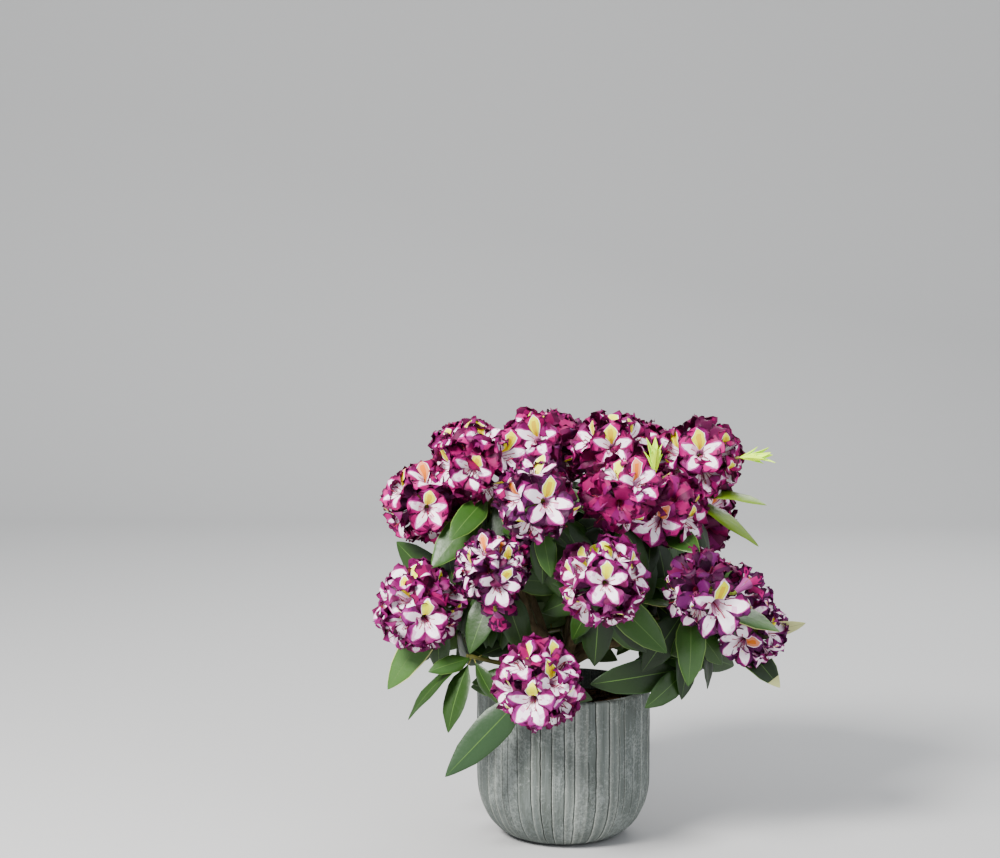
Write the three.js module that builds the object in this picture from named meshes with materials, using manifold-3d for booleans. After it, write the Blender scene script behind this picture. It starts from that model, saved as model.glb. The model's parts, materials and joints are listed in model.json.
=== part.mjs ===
// A rhododendron in full flower, in a round planter of upright staves.
// A short trunk forks just above the soil into boughs. Each bough carries one mass: a stem
// that forks into shoots, and every shoot has whorls of leathery leaves under a round truss
// of five-lobed florets. Millimetres, +Z up, origin under the middle of the planter.
import * as THREE from 'three';
import { mergeVertices } from 'three/addons/utils/BufferGeometryUtils.js';
import Module from 'manifold-3d';

const wasm = await Module();
wasm.setup();

// Planter
const potWidth = 260;
const potHeight = 225;
const footWidth = 130;
const footCurveHeight = 90;
const footCurveSteps = 4;
const wall = 13;
const staves = 48;
const soilDepthBelowRim = 30;
const soilMound = 8;
const soilMoundRadius = 30;
const soilCurveSteps = 2;

// Gap between pieces that touch, the finest detail that is kept, and the distance within which
// two corners are one
const seatGap = 0.3;
const sliver = 0.05;
const weld = 1e-3;
const leastTouch = 1e-3;

// Trunk and boughs
const trunkRadius = 12;
const trunkTopRadius = 9;
const trunkSides = 8;
const flareRadius = 21;
const flareHeight = 26;
const trunkTop = new THREE.Vector3(9, 4, 285);
const boughBaseRadius = 7.5;
const sideBoughRadius = 5.9;
const boughTipRadius = 4.4;
const boughLift = 0.14;
const boughSteps = 4;
const limbSides = 5;
const limbBend = 0.35;

// Shoots: the stem of a mass is this long, and forks this far behind its trusses
const stemRun = 24;
const forkDepth = 40;
const stemRadius = 4.4;
const twigRadius = 3.1;
const twigSides = 4;
const whorlDepth = 0.8;
const whorlShare = 0.64;
const lowerShare = 0.3;
const twigSink = 3;

// Crown: shoots face away from its heart, and a little towards the light
const heart = new THREE.Vector3(25, 15, 325);
const lightPull = 0.22;

// Leaves: half widths at three stations between the root and the tip
const leafLength = 124;
const leafWidth = 42;
const leafKeel = 2.2;
const leafStations = [[0.15, 0.1], [0.43, 1], [0.77, 0.72]];
const petioleShare = 0.2;
const leafClearance = 0.7;
const leafDroop = 0.22;
const lowestTip = 228;
const whorlLeaves = 7;
const lowerLeaves = 4;
const leafTries = 6;
const givenTries = 8;
const budStep = 0.02;

// Ranges that leaves are drawn from: lean to the shoot, share of the full length, share of
// the full width and bend; then how a leaf with a given tip is made
const whorlTilts = [-0.95, -0.3];
const lowerTilts = [-0.6, 0.3];
const whorlLengths = [0.84, 1.12];
const lowerLengths = [0.85, 1.15];
const leafSpreads = [0.94, 1.1];
const leafBends = [0.25, 0.8];
const shorterEachTry = 0.04;
const givenBends = [0.5, 0.15];
const givenSpread = 1.1;
const givenShape = 0.34;
const givenPull = 7;

// Florets, one on each face but the last of a twelve-sided ball
const ballCore = 17;
const lobeTurn = 0.62;
const notchTurn = 0.45;
const notchReach = 0.9;
const throatReach = 0.62;
const shortestLobe = 0.93;

// Young leaves of a tuft, dealt round its twig by the angle that keeps them apart
const tuftTurn = 2.4;
const tuftLeafShape = 0.17;
const tuftLeafSag = 0.35;
const tuftSeed = 5000;

const vec = (x, y, z) => new THREE.Vector3(x, y, z);

// A repeatable number from 0 to 1 for each seed.
function chance(seed) {
  const x = Math.sin(seed * 12.9898 + 4.1414) * 43758.5453;
  return x - Math.floor(x);
}

const between = (low, high, share) => low + (high - low) * share;

// The masses of the crown. A shoot is the middle of its truss and the truss's reach; turn,
// where it is given, is the way the shoot faces instead of straight out of the crown. A shoot
// of no reach bears leaves alone. tips are the ends of leaves that hang where they can be seen,
// and leaves is the number in the whorl under the truss, where it isn't the usual one.
// A bough leaves the trunk, or the bough named in from, at a share of its length.
const masses = [
  { name: 'front_low', from: 'trunk', at: 0.62, shoots: [
    { place: [-35, -203, 269], reach: 71, turn: [-0.05, -1, 0.16], leaves: 4, tips: [[-172, -205, 132]] },
    { place: [-138, -122, 294], reach: 0, turn: [-0.45, -0.6, 0.1], leaves: 6,
      tips: [[-224, -150, 205], [-166, -155, 188], [-93, -140, 227], [-195, -150, 276], [-62, -96, 312]] },
  ] },
  { name: 'left', from: 'trunk', at: 0.78, shoots: [
    { place: [-209, -110, 362], reach: 72, turn: [-0.45, -1, 0.18], tips: [[-280, -105, 238]] },
    { place: [-101, -165, 427], reach: 60, turn: [-0.25, -1, 0.35], tips: [[-137, -152, 304]] },
  ] },
  { name: 'centre', from: 'trunk', at: 0.9, shoots: [
    { place: [55, -216, 419], reach: 69, turn: [0.05, -1, 0.3], tips: [[147, -200, 317], [12, -142, 322]] },
  ] },
  { name: 'right', from: 'trunk', at: 0.7, shoots: [
    { place: [199, -154, 400], reach: 64, turn: [0.4, -1, 0.5],
      tips: [[180, -178, 265], [309, -150, 337], [120, -170, 388], [266, -100, 424]] },
    { place: [275, -80, 326], reach: 57, turn: [0.8, -0.75, 0.1], tips: [[315, -100, 245], [352, -90, 339]] },
    { place: [184, -98, 272], reach: 0, turn: [0.2, -1, 0.1], leaves: 3, tips: [[38, -130, 255], [117, -150, 225]] },
  ] },
  { name: 'left_high', from: 'left', at: 0.42, shoots: [
    { place: [-206, -55, 509], reach: 66 },
    { place: [-127, -90, 574], reach: 66, tips: [[-200, -131, 441], [-163, -150, 467]] },
  ] },
  { name: 'front_high', from: 'centre', at: 0.35, shoots: [
    { place: [-38, -212, 536], reach: 66, turn: [-0.1, -1, 0.8], tips: [[-18, -190, 421], [-5, -150, 386]] },
  ] },
  { name: 'right_high', from: 'right', at: 0.45, shoots: [
    { place: [77, -163, 535], reach: 58, turn: [0.1, -0.9, 1] },
    { place: [150, -106, 507], reach: 61, turn: [0.45, -1, 0.7], tips: [[193, -162, 452], [124, -130, 415]] },
  ] },
  { name: 'top', from: 'trunk', at: 1, shoots: [
    { place: [-31, 2, 583], reach: 66 },
    { place: [70, -41, 584], reach: 66 },
  ] },
  { name: 'right_top', from: 'top', at: 0.35, shoots: [
    { place: [200, 5, 566], reach: 71, turn: [0.55, -0.35, 1], tips: [[291, -30, 447], [297, -50, 506]] },
  ] },
  { name: 'back_right', from: 'trunk', at: 0.82, shoots: [
    { place: [258, 60, 335], reach: 62 },
    { place: [178, 186, 340], reach: 66 },
  ] },
  { name: 'back_low', from: 'trunk', at: 0.68, shoots: [
    { place: [34, 226, 318], reach: 68 },
    { place: [-42, 150, 276], reach: 0, turn: [-0.3, 1, 0.1] },
  ] },
  { name: 'back_left', from: 'trunk', at: 0.74, shoots: [
    { place: [-112, 186, 340], reach: 66 },
    { place: [-206, 70, 345], reach: 66 },
  ] },
  { name: 'back_mid', from: 'back_low', at: 0.4, shoots: [
    { place: [98, 208, 472], reach: 64 },
    { place: [-38, 208, 470], reach: 64 },
  ] },
  { name: 'back_right_high', from: 'back_right', at: 0.4, shoots: [
    { place: [206, 120, 468], reach: 62 },
    { place: [115, 107, 558], reach: 60 },
  ] },
  { name: 'back_left_high', from: 'back_left', at: 0.4, shoots: [
    { place: [-170, 118, 474], reach: 62 },
    { place: [-148, 45, 568], reach: 58 },
  ] },
  { name: 'top_back', from: 'top', at: 0.55, shoots: [
    { place: [-16, 128, 570], reach: 60 },
  ] },
];

// Tufts of young, narrow leaves that stand out of the flowers on the right.
const tufts = [
  { mass: 'right_high', foot: [130, -117, 560], toward: [-0.05, -0.1, 1], leaves: 5, length: 50 },
  { mass: 'right_top', foot: [262, -26, 577], toward: [1, -0.15, 0.1], leaves: 5, length: 46 },
];

function solidOf(geometry) {
  geometry.deleteAttribute('normal');
  geometry.deleteAttribute('uv');
  const merged = mergeVertices(geometry, weld);
  return new wasm.Manifold(new wasm.Mesh({
    numProp: 3,
    vertProperties: merged.attributes.position.array,
    triVerts: new Uint32Array(merged.index.array),
  }));
}

function geometryOf(solid) {
  const mesh = solid.getMesh();
  const geometry = new THREE.BufferGeometry();
  geometry.setAttribute('position', new THREE.BufferAttribute(mesh.vertProperties, 3));
  geometry.setIndex(new THREE.BufferAttribute(mesh.triVerts, 1));
  geometry.computeVertexNormals();
  return geometry;
}

function solidFromLists(points, triangles) {
  const geometry = new THREE.BufferGeometry().setFromPoints(points);
  geometry.setIndex(triangles);
  return solidOf(geometry);
}

// Joins solids that meet, drops slivers thinner than a hair, and keeps the largest body.
function joined(solids) {
  return largest(solids.reduce((sum, solid) => sum.add(solid)).simplify(sliver));
}

function largest(solid) {
  return solid.decompose().sort((a, b) => b.volume() - a.volume())[0];
}

// The planter: a round foot, upright sides and a thin rim, one flat face to each stave.
function potProfile() {
  const outer = potWidth / 2;
  const foot = footWidth / 2;
  const profile = [new THREE.Vector2(0, 0), new THREE.Vector2(foot, 0)];
  for (let i = 1; i <= footCurveSteps; i++) {
    const turn = (i / footCurveSteps) * Math.PI / 2;
    profile.push(new THREE.Vector2(
      foot + (outer - foot) * Math.sin(turn),
      footCurveHeight * (1 - Math.cos(turn))));
  }
  profile.push(new THREE.Vector2(outer, potHeight));
  return profile.concat(innerProfile(0).reverse());
}

// The planter's inside, from the middle of its floor to the rim, taken in by a clearance.
function innerProfile(clearance) {
  const inner = potWidth / 2 - wall - clearance;
  const floor = footWidth / 2 - clearance;
  const profile = [new THREE.Vector2(0, wall + clearance), new THREE.Vector2(floor, wall + clearance)];
  for (let i = 1; i <= soilCurveSteps; i++) {
    const turn = (i / soilCurveSteps) * Math.PI / 2;
    profile.push(new THREE.Vector2(
      floor + (inner - floor) * Math.sin(turn),
      wall + clearance + footCurveHeight * (1 - Math.cos(turn))));
  }
  if (clearance === 0) profile.push(new THREE.Vector2(inner, potHeight));
  return profile;
}

// A LatheGeometry stands round Y; this turns its profile's height to +Z.
function lathe(profile, sides) {
  return new THREE.LatheGeometry(profile, sides).rotateX(Math.PI / 2);
}

function potSolid() {
  return solidOf(lathe(potProfile(), staves));
}

const soilTop = potHeight - soilDepthBelowRim;

function soilSolid() {
  const inner = potWidth / 2 - wall - seatGap;
  const profile = innerProfile(seatGap);
  profile.push(new THREE.Vector2(inner, soilTop));
  profile.push(new THREE.Vector2(soilMoundRadius, soilTop + soilMound));
  profile.push(new THREE.Vector2(0, soilTop + soilMound));
  return solidOf(lathe(profile, staves / 3));
}

// A limb along a line of points, with a radius at each and a flat cut at both ends.
function limbSolid(line, radii, sides) {
  const points = [];
  const triangles = [];
  let across = vec(0, 0, 0);
  line.forEach((centre, i) => {
    const before = line[Math.max(i - 1, 0)];
    const after = line[Math.min(i + 1, line.length - 1)];
    const along = after.clone().sub(before).normalize();
    if (i === 0) across = Math.abs(along.z) < 0.8 ? vec(0, 0, 1) : vec(1, 0, 0);
    across = across.clone().addScaledVector(along, -across.dot(along)).normalize();
    const third = along.clone().cross(across);
    for (let j = 0; j < sides; j++) {
      const turn = (j / sides) * 2 * Math.PI;
      points.push(centre.clone()
        .addScaledVector(across, radii[i] * Math.cos(turn))
        .addScaledVector(third, radii[i] * Math.sin(turn)));
    }
  });
  for (let i = 0; i < line.length - 1; i++) {
    for (let j = 0; j < sides; j++) {
      const a = i * sides + j;
      const b = i * sides + (j + 1) % sides;
      triangles.push(a, b, b + sides, a, b + sides, a + sides);
    }
  }
  const last = (line.length - 1) * sides;
  for (let j = 1; j < sides - 1; j++) {
    triangles.push(0, j + 1, j);
    triangles.push(last, last + j, last + j + 1);
  }
  return solidFromLists(points, triangles);
}

// Points along a curve, by even steps of its parameter.
const lineOf = (curve, steps) => Array.from({ length: steps + 1 }, (_, i) => curve.getPoint(i / steps));

// The point at a share of a line, counted in steps.
function onLine(line, share) {
  const step = Math.min(Math.floor(share * (line.length - 1)), line.length - 2);
  return line[step].clone().lerp(line[step + 1], share * (line.length - 1) - step);
}

// The trunk rises straight out of the soil, then leans to its top.
const trunkFoot = vec(0, 0, soilTop + soilMound + seatGap);
const trunkBend = trunkFoot.clone().add(vec(0, 0, flareHeight / 3));
const trunkLine = [trunkFoot, ...lineOf(new THREE.CubicBezierCurve3(
  trunkBend, vec(0, 0, trunkFoot.z + 35), vec(5, 1, trunkTop.z - 35), trunkTop), 5)];

function trunkRadiusAt(height) {
  const share = (height - trunkFoot.z) / (trunkTop.z - trunkFoot.z);
  const flare = Math.max(0, 1 - (height - trunkFoot.z) / flareHeight);
  return between(trunkRadius, trunkTopRadius, share) + (flareRadius - trunkRadius) * flare * flare;
}

function trunkSolid(extra) {
  return limbSolid(trunkLine, trunkLine.map((point) => trunkRadiusAt(point.z) + extra), trunkSides);
}

// Where the whorl of a shoot sits, and which way the shoot faces.
function settleShoot(shoot, index) {
  shoot.middle = vec(...shoot.place);
  shoot.axis = shoot.turn
    ? vec(...shoot.turn).normalize()
    : shoot.middle.clone().sub(heart).normalize().add(vec(0, 0, lightPull)).normalize();
  shoot.whorl = shoot.middle.clone().addScaledVector(shoot.axis, -whorlDepth * shoot.reach);
  shoot.seed = 100 * (index + 1);
}

// Where the stem of a mass starts and forks.
function settleMass(mass) {
  const whorl = mass.shoots.reduce((sum, s) => sum.add(s.whorl), vec(0, 0, 0)).divideScalar(mass.shoots.length);
  const axis = mass.shoots.reduce((sum, s) => sum.add(s.axis), vec(0, 0, 0)).normalize();
  const outward = whorl.clone().sub(trunkTop).normalize().add(axis).normalize();
  mass.fork = whorl.addScaledVector(outward, -forkDepth);
  mass.way = mass.fork.clone().sub(trunkTop).normalize().add(outward).normalize();
  mass.foot = mass.fork.clone().addScaledVector(mass.way, -stemRun);
}

masses.flatMap((mass) => mass.shoots).forEach(settleShoot);
masses.forEach(settleMass);

const massNamed = new Map(masses.map((mass) => [mass.name, mass]));

// A bough bends from its parent's line to the way its mass grows, and ends square to it.
function boughLine(mass) {
  const parent = mass.from === 'trunk' ? trunkLine : massNamed.get(mass.from).line;
  const start = onLine(parent, mass.at);
  const end = mass.foot.clone().addScaledVector(mass.way, -seatGap);
  const bend = end.clone().addScaledVector(mass.way, -boughTipRadius);
  const span = bend.distanceTo(start);
  const first = start.clone().lerp(bend, 0.3).add(vec(0, 0, boughLift * span));
  const second = bend.clone().addScaledVector(mass.way, -limbBend * span);
  return [...lineOf(new THREE.CubicBezierCurve3(start, first, second, bend), boughSteps), end];
}

function boughSolid(mass, extra) {
  const thick = mass.from === 'trunk' ? boughBaseRadius : sideBoughRadius;
  const radii = mass.line.map((_, i) => between(thick, boughTipRadius, Math.min(i / boughSteps, 1)) + extra);
  return limbSolid(mass.line, radii, limbSides);
}

// A twig bends from the fork of its mass to the whorl, then runs into the heart of the truss.
function twigLine(mass, shoot) {
  const span = mass.fork.distanceTo(shoot.whorl);
  const curve = new THREE.CubicBezierCurve3(
    mass.fork,
    mass.fork.clone().addScaledVector(mass.way, limbBend * span),
    shoot.whorl.clone().addScaledVector(shoot.axis, -limbBend * span),
    shoot.whorl);
  return [...lineOf(curve, 2), shoot.whorl.clone().addScaledVector(shoot.axis, whorlDepth * shoot.reach + twigSink)];
}

function stemSolid(mass) {
  const top = mass.fork.clone().addScaledVector(mass.way, twigSink);
  return limbSolid([mass.foot, top], [stemRadius, stemRadius], limbSides);
}

const twigSolid = (shoot) => limbSolid(shoot.line, shoot.line.map(() => twigRadius), twigSides);

// The directions and corners of a twelve-sided ball whose last face looks back along the twig.
function ballFrame(shoot) {
  const pole = shoot.axis;
  const side = Math.abs(pole.z) < 0.9 ? vec(0, 0, 1) : vec(0, 1, 0);
  const first = side.clone().addScaledVector(pole, -side.dot(pole)).normalize();
  const second = pole.clone().cross(first);
  const spin = chance(shoot.seed + 1) * 2 * Math.PI / 5;
  const aim = (lean, turn) => pole.clone().multiplyScalar(Math.cos(lean))
    .addScaledVector(first, Math.sin(lean) * Math.cos(turn + spin))
    .addScaledVector(second, Math.sin(lean) * Math.sin(turn + spin));
  return aim;
}

const faceLean = Math.atan(2);
const cornerLeans = [0.652358, 1.382086];

function ballFaces(aim) {
  const fifth = 2 * Math.PI / 5;
  const upper = (k) => aim(cornerLeans[0], fifth * (k + 0.5));
  const middle = (k) => aim(cornerLeans[1], fifth * (k + 0.5));
  const lower = (k) => aim(Math.PI - cornerLeans[1], fifth * k);
  const last = (k) => aim(Math.PI - cornerLeans[0], fifth * k);
  const faces = [{ out: aim(0, 0), corners: [0, 1, 2, 3, 4].map(upper) }];
  for (let k = 0; k < 5; k++) {
    faces.push({
      out: aim(faceLean, fifth * k),
      corners: [upper(k), upper(k - 1), middle(k - 1), lower(k), middle(k)],
    });
    faces.push({
      out: aim(Math.PI - faceLean, fifth * (k + 0.5)),
      corners: [middle(k), lower(k), last(k), last(k + 1), lower(k + 1)],
      hidden: true,
    });
  }
  faces.push({ out: aim(Math.PI, 0), corners: [4, 3, 2, 1, 0].map(last), closed: true });
  return faces;
}

// A truss: a floret flares out of each face of the ball, with five lobes over its corners.
// The florets that look back along the twig are plain: no throat, no notch between lobes.
function trussSolid(shoot) {
  const points = [];
  const triangles = [];
  const put = (direction, distance) => points.push(shoot.middle.clone().addScaledVector(direction, distance)) - 1;
  ballFaces(ballFrame(shoot)).forEach((face, index) => {
    const corners = face.corners.map((corner) => put(corner, ballCore));
    if (face.closed) {
      for (let k = 1; k < 4; k++) triangles.push(corners[0], corners[k], corners[k + 1]);
      return;
    }
    const lobes = face.corners.map((corner, k) => put(
      leanTo(face.out, corner, lobeTurn),
      shoot.reach * between(shortestLobe, 1, chance(shoot.seed + 7 * index + k + 11))));
    if (face.hidden) {
      for (let k = 0; k < 5; k++) {
        const next = (k + 1) % 5;
        triangles.push(corners[k], corners[next], lobes[next]);
        triangles.push(corners[k], lobes[next], lobes[k]);
      }
      for (let k = 1; k < 4; k++) triangles.push(lobes[0], lobes[k], lobes[k + 1]);
      return;
    }
    const throat = put(face.out, shoot.reach * throatReach);
    for (let k = 0; k < 5; k++) {
      const next = (k + 1) % 5;
      const halfway = face.corners[k].clone().add(face.corners[next]).normalize();
      const notch = put(leanTo(face.out, halfway, notchTurn), shoot.reach * notchReach);
      triangles.push(corners[k], corners[next], notch);
      triangles.push(corners[k], notch, lobes[k]);
      triangles.push(corners[next], lobes[next], notch);
      triangles.push(throat, lobes[k], notch);
      triangles.push(throat, notch, lobes[next]);
    }
  });
  return solidFromLists(points, triangles);
}

// A direction that leans from one towards another by an angle.
function leanTo(from, towards, angle) {
  const side = towards.clone().addScaledVector(from, -towards.dot(from)).normalize();
  return from.clone().multiplyScalar(Math.cos(angle)).addScaledVector(side, Math.sin(angle));
}

// A leaf is a thin keeled blade that arches from its root to its tip.
function leafSolid(leaf, extra, from) {
  const chord = leaf.tip.clone().sub(leaf.root);
  const half = leaf.sag / 2;
  const bow = chord.length() / (2 * Math.sin(half));
  const along = chord.normalize();
  const out = leaf.face.clone().addScaledVector(along, -leaf.face.dot(along)).normalize();
  const heading = along.clone().multiplyScalar(Math.cos(half)).addScaledVector(out, Math.sin(half));
  const face = out.clone().multiplyScalar(Math.cos(half)).addScaledVector(along, -Math.sin(half));
  const side = heading.clone().cross(face);
  const at = (share) => leaf.root.clone()
    .addScaledVector(heading, bow * Math.sin(leaf.sag * share))
    .addScaledVector(face, -bow * (1 - Math.cos(leaf.sag * share)));
  const points = [at(from)];
  const triangles = [];
  const corners = extra > 0 ? 4 : 3;
  for (const [share, wide] of leafStations.filter((station) => station[0] > from)) {
    const up = face.clone().multiplyScalar(Math.cos(leaf.sag * share))
      .addScaledVector(heading, Math.sin(leaf.sag * share));
    const reach = leaf.width / 2 * wide + extra;
    const section = [[-reach, -leafKeel], [0, extra], [reach, -leafKeel], [0, -leafKeel - extra]];
    for (const [across, above] of section.slice(0, corners)) {
      points.push(at(share).addScaledVector(side, across).addScaledVector(up, above));
    }
  }
  points.push(at(1));
  const tip = points.length - 1;
  for (let k = 0; k < corners; k++) {
    const next = (k + 1) % corners;
    triangles.push(0, 1 + next, 1 + k);
    for (let ring = 1; ring + corners < tip; ring += corners) {
      const above = ring + corners;
      triangles.push(ring + k, ring + next, above + next, ring + k, above + next, above + k);
    }
    triangles.push(tip, tip - corners + k, tip - corners + next);
  }
  return solidFromLists(points, triangles);
}

// The leaves that a shoot may bear, each with a few ways it may turn: those that reach a
// given tip, then the whorl under the truss, then the older leaves further back. Only a
// leaf with a given tip hangs lower than the planter's rim.
function leavesOf(shoot) {
  const side = Math.abs(shoot.axis.z) < 0.9 ? vec(0, 0, 1) : vec(0, 1, 0);
  const first = side.clone().addScaledVector(shoot.axis, -side.dot(shoot.axis)).normalize();
  const second = shoot.axis.clone().cross(first);
  const leaves = (shoot.tips ?? []).map((tip, i) => {
    const tries = [];
    for (let k = 0; k < givenTries; k++) {
      const root = onLine(shoot.line, whorlShare - budStep * i - 1.5 * budStep * (k % 4));
      const end = vec(...tip).addScaledVector(shoot.axis, -givenPull * k);
      const width = Math.min(givenSpread * leafWidth, givenShape * end.distanceTo(root));
      tries.push({ root, tip: end, face: shoot.axis, width, sag: between(...givenBends, k / givenTries) });
    }
    return tries;
  });
  const whorl = (count, share, tilts, lengths, seed) => {
    for (let i = 0; i < count; i++) {
      const tries = [];
      for (let k = 0; k < leafTries; k++) {
        const draw = (n) => chance(seed + 31 * i + 7 * k + n);
        const turn = (i + 0.8 * draw(1)) * 2 * Math.PI / count + seed;
        const tilt = between(...tilts, draw(2));
        const heading = first.clone().multiplyScalar(Math.cos(turn) * Math.cos(tilt))
          .addScaledVector(second, Math.sin(turn) * Math.cos(tilt))
          .addScaledVector(shoot.axis, Math.sin(tilt))
          .add(vec(0, 0, -leafDroop)).normalize();
        const length = leafLength * between(...lengths, draw(3)) * (1 - shorterEachTry * k);
        const root = onLine(shoot.line, share - budStep * (i % 3));
        const tip = root.clone().addScaledVector(heading, length);
        if (tip.z < lowestTip) continue;
        tries.push({
          root,
          tip,
          face: shoot.axis,
          width: leafWidth * (length / leafLength) * between(...leafSpreads, draw(4)),
          sag: between(...leafBends, draw(5)),
        });
      }
      leaves.push(tries);
    }
  };
  whorl((shoot.leaves ?? whorlLeaves) - leaves.length, whorlShare, whorlTilts, whorlLengths, shoot.seed + 20);
  whorl(lowerLeaves, lowerShare, lowerTilts, lowerLengths, shoot.seed + 60);
  return leaves;
}

// The twig and leaves of a tuft; the twig runs on a little past the roots of its leaves.
function tuftSolids(tuft, index) {
  const toward = vec(...tuft.toward).normalize();
  const foot = vec(...tuft.foot);
  const end = foot.clone().addScaledVector(toward, twigSink);
  const first = vec(0, 1, 0).addScaledVector(toward, -toward.y).normalize();
  const second = toward.clone().cross(first);
  const mass = massNamed.get(tuft.mass);
  const shoot = mass.shoots[mass.shoots.length - 1];
  const solids = [limbSolid([onLine(shoot.line, whorlShare), foot, end], Array(3).fill(twigRadius), twigSides)];
  for (let i = 0; i < tuft.leaves; i++) {
    const seed = tuftSeed + 100 * index + 7 * i;
    const turn = i * tuftTurn;
    const lean = between(0.12, 0.6, i / tuft.leaves);
    const heading = toward.clone().multiplyScalar(Math.cos(lean))
      .addScaledVector(first, Math.sin(lean) * Math.cos(turn))
      .addScaledVector(second, Math.sin(lean) * Math.sin(turn));
    const length = tuft.length * between(0.75, 1.05, chance(seed));
    const tip = foot.clone().addScaledVector(heading, length);
    solids.push(leafSolid({ root: foot, tip, face: toward, width: length * tuftLeafShape, sag: tuftLeafSag }, 0, 0));
  }
  return solids;
}

// Everything is built from the ground up, so each limb and leaf can keep clear of what stands.
const built = [];

function boxesMeet(a, b) {
  return [0, 1, 2].every((k) => a.min[k] < b.max[k] && b.min[k] < a.max[k]);
}

function touches(solid, others) {
  const box = solid.boundingBox();
  return others.some((other) => boxesMeet(box, other.box) && solid.intersect(other.solid).volume() > leastTouch);
}

function keep(name, solid, colour, roughness) {
  built.push({ name, solid, box: solid.boundingBox(), colour, roughness });
}

const potColour = 0x9a9f97;
const soilColour = 0x33261c;
const barkColour = 0x6d5643;
const massColour = 0x9c2a6a;

keep('planter', potSolid(), potColour, 0.9);
keep('soil', soilSolid(), soilColour, 1.0);
keep('trunk', trunkSolid(0), barkColour, 0.85);

const fatLimbs = new Map([['trunk', trunkSolid(seatGap)]]);
for (const mass of masses) {
  mass.line = boughLine(mass);
  let solid = boughSolid(mass, 0);
  for (const other of fatLimbs.values()) solid = solid.subtract(other);
  fatLimbs.set(mass.name, boughSolid(mass, seatGap));
  keep('bough_' + mass.name, largest(solid), barkColour, 0.85);
}

// First the stems, twigs and trusses of every mass, then the leaves that find room.
for (const mass of masses) {
  mass.parts = [stemSolid(mass)];
  for (const shoot of mass.shoots) {
    shoot.line = twigLine(mass, shoot);
    mass.parts.push(twigSolid(shoot));
    if (shoot.reach > 0) mass.parts.push(trussSolid(shoot));
  }
  tufts.forEach((tuft, index) => {
    if (tuft.mass === mass.name) mass.parts.push(...tuftSolids(tuft, index));
  });
}

const standing = built.map((piece) => ({ solid: piece.solid, box: piece.box, mass: null }));
for (const mass of masses) {
  for (const part of mass.parts) standing.push({ solid: part, box: part.boundingBox(), mass: mass.name });
}

// The first way a leaf may turn that touches nothing but its own twig with its stalk. A leaf
// with a given tip may do with a way that keeps clear of the other masses and the limbs.
function findRoom(tries, name, given) {
  const others = standing.filter((piece) => piece.mass !== name);
  const clear = tries.filter((leaf) => !touches(leafSolid(leaf, leafClearance, 0), others));
  const free = clear.find((leaf) => !touches(leafSolid(leaf, leafClearance, petioleShare), standing));
  return free ?? (given ? clear[0] : undefined);
}

let grown = 0;
for (const round of [0, 1]) {
  for (const mass of masses) {
    for (const shoot of mass.shoots) {
      const leaves = leavesOf(shoot);
      const given = shoot.tips ? shoot.tips.length : 0;
      for (const tries of round === 0 ? leaves.slice(0, given) : leaves.slice(given)) {
        const leaf = findRoom(tries, mass.name, round === 0);
        if (!leaf) {
          if (round === 0) console.log('no room for a given leaf of ' + mass.name, tries[0].tip);
          continue;
        }
        grown += 1;
        const solid = leafSolid(leaf, 0, 0);
        mass.parts.push(solid);
        standing.push({ solid, box: solid.boundingBox(), mass: mass.name });
      }
    }
  }
}
for (const mass of masses) keep('foliage_' + mass.name, joined(mass.parts), massColour, 0.6);
console.log(grown + ' leaves grown');

const rhododendron = new THREE.Group();
for (const piece of built) {
  const material = new THREE.MeshStandardMaterial({ color: piece.colour, roughness: piece.roughness, metalness: 0 });
  const mesh = new THREE.Mesh(geometryOf(piece.solid), material);
  mesh.name = piece.name;
  rhododendron.add(mesh);
}

export default rhododendron;
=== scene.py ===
# A rhododendron in full flower, in a planter of upright staves, finished round its solid frame.
# Twigs, leaves and trusses grow by the rule that made the solids, and reach as far as they do.
# Lengths are millimetres until a mesh is made; the camera and the lights are in metres.
import json
import math
from collections import namedtuple

import bpy
import numpy as np
from mathutils import Matrix, Quaternion, Vector, noise
from mathutils.kdtree import KDTree

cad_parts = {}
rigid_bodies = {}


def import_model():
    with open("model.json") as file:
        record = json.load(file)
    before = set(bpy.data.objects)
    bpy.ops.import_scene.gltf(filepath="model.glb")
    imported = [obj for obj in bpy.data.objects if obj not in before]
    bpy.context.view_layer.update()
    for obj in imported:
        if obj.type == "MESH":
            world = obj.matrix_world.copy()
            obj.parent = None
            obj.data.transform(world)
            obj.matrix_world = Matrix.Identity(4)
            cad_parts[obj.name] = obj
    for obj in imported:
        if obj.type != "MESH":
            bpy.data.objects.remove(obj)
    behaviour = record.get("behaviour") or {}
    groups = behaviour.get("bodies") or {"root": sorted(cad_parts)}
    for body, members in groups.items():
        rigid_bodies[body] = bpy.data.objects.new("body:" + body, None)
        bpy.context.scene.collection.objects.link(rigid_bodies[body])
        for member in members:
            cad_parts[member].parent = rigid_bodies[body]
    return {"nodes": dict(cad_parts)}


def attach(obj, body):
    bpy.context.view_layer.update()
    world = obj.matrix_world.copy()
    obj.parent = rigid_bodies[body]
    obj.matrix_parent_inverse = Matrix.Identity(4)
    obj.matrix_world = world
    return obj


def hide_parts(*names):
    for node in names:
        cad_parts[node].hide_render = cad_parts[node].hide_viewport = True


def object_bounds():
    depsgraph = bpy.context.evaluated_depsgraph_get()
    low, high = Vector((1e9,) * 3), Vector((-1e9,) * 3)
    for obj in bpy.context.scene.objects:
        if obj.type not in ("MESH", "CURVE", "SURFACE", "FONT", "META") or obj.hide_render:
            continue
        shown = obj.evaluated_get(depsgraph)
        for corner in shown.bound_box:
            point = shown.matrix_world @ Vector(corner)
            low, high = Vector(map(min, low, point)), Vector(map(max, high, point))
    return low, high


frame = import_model()
cad_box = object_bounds()

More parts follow.
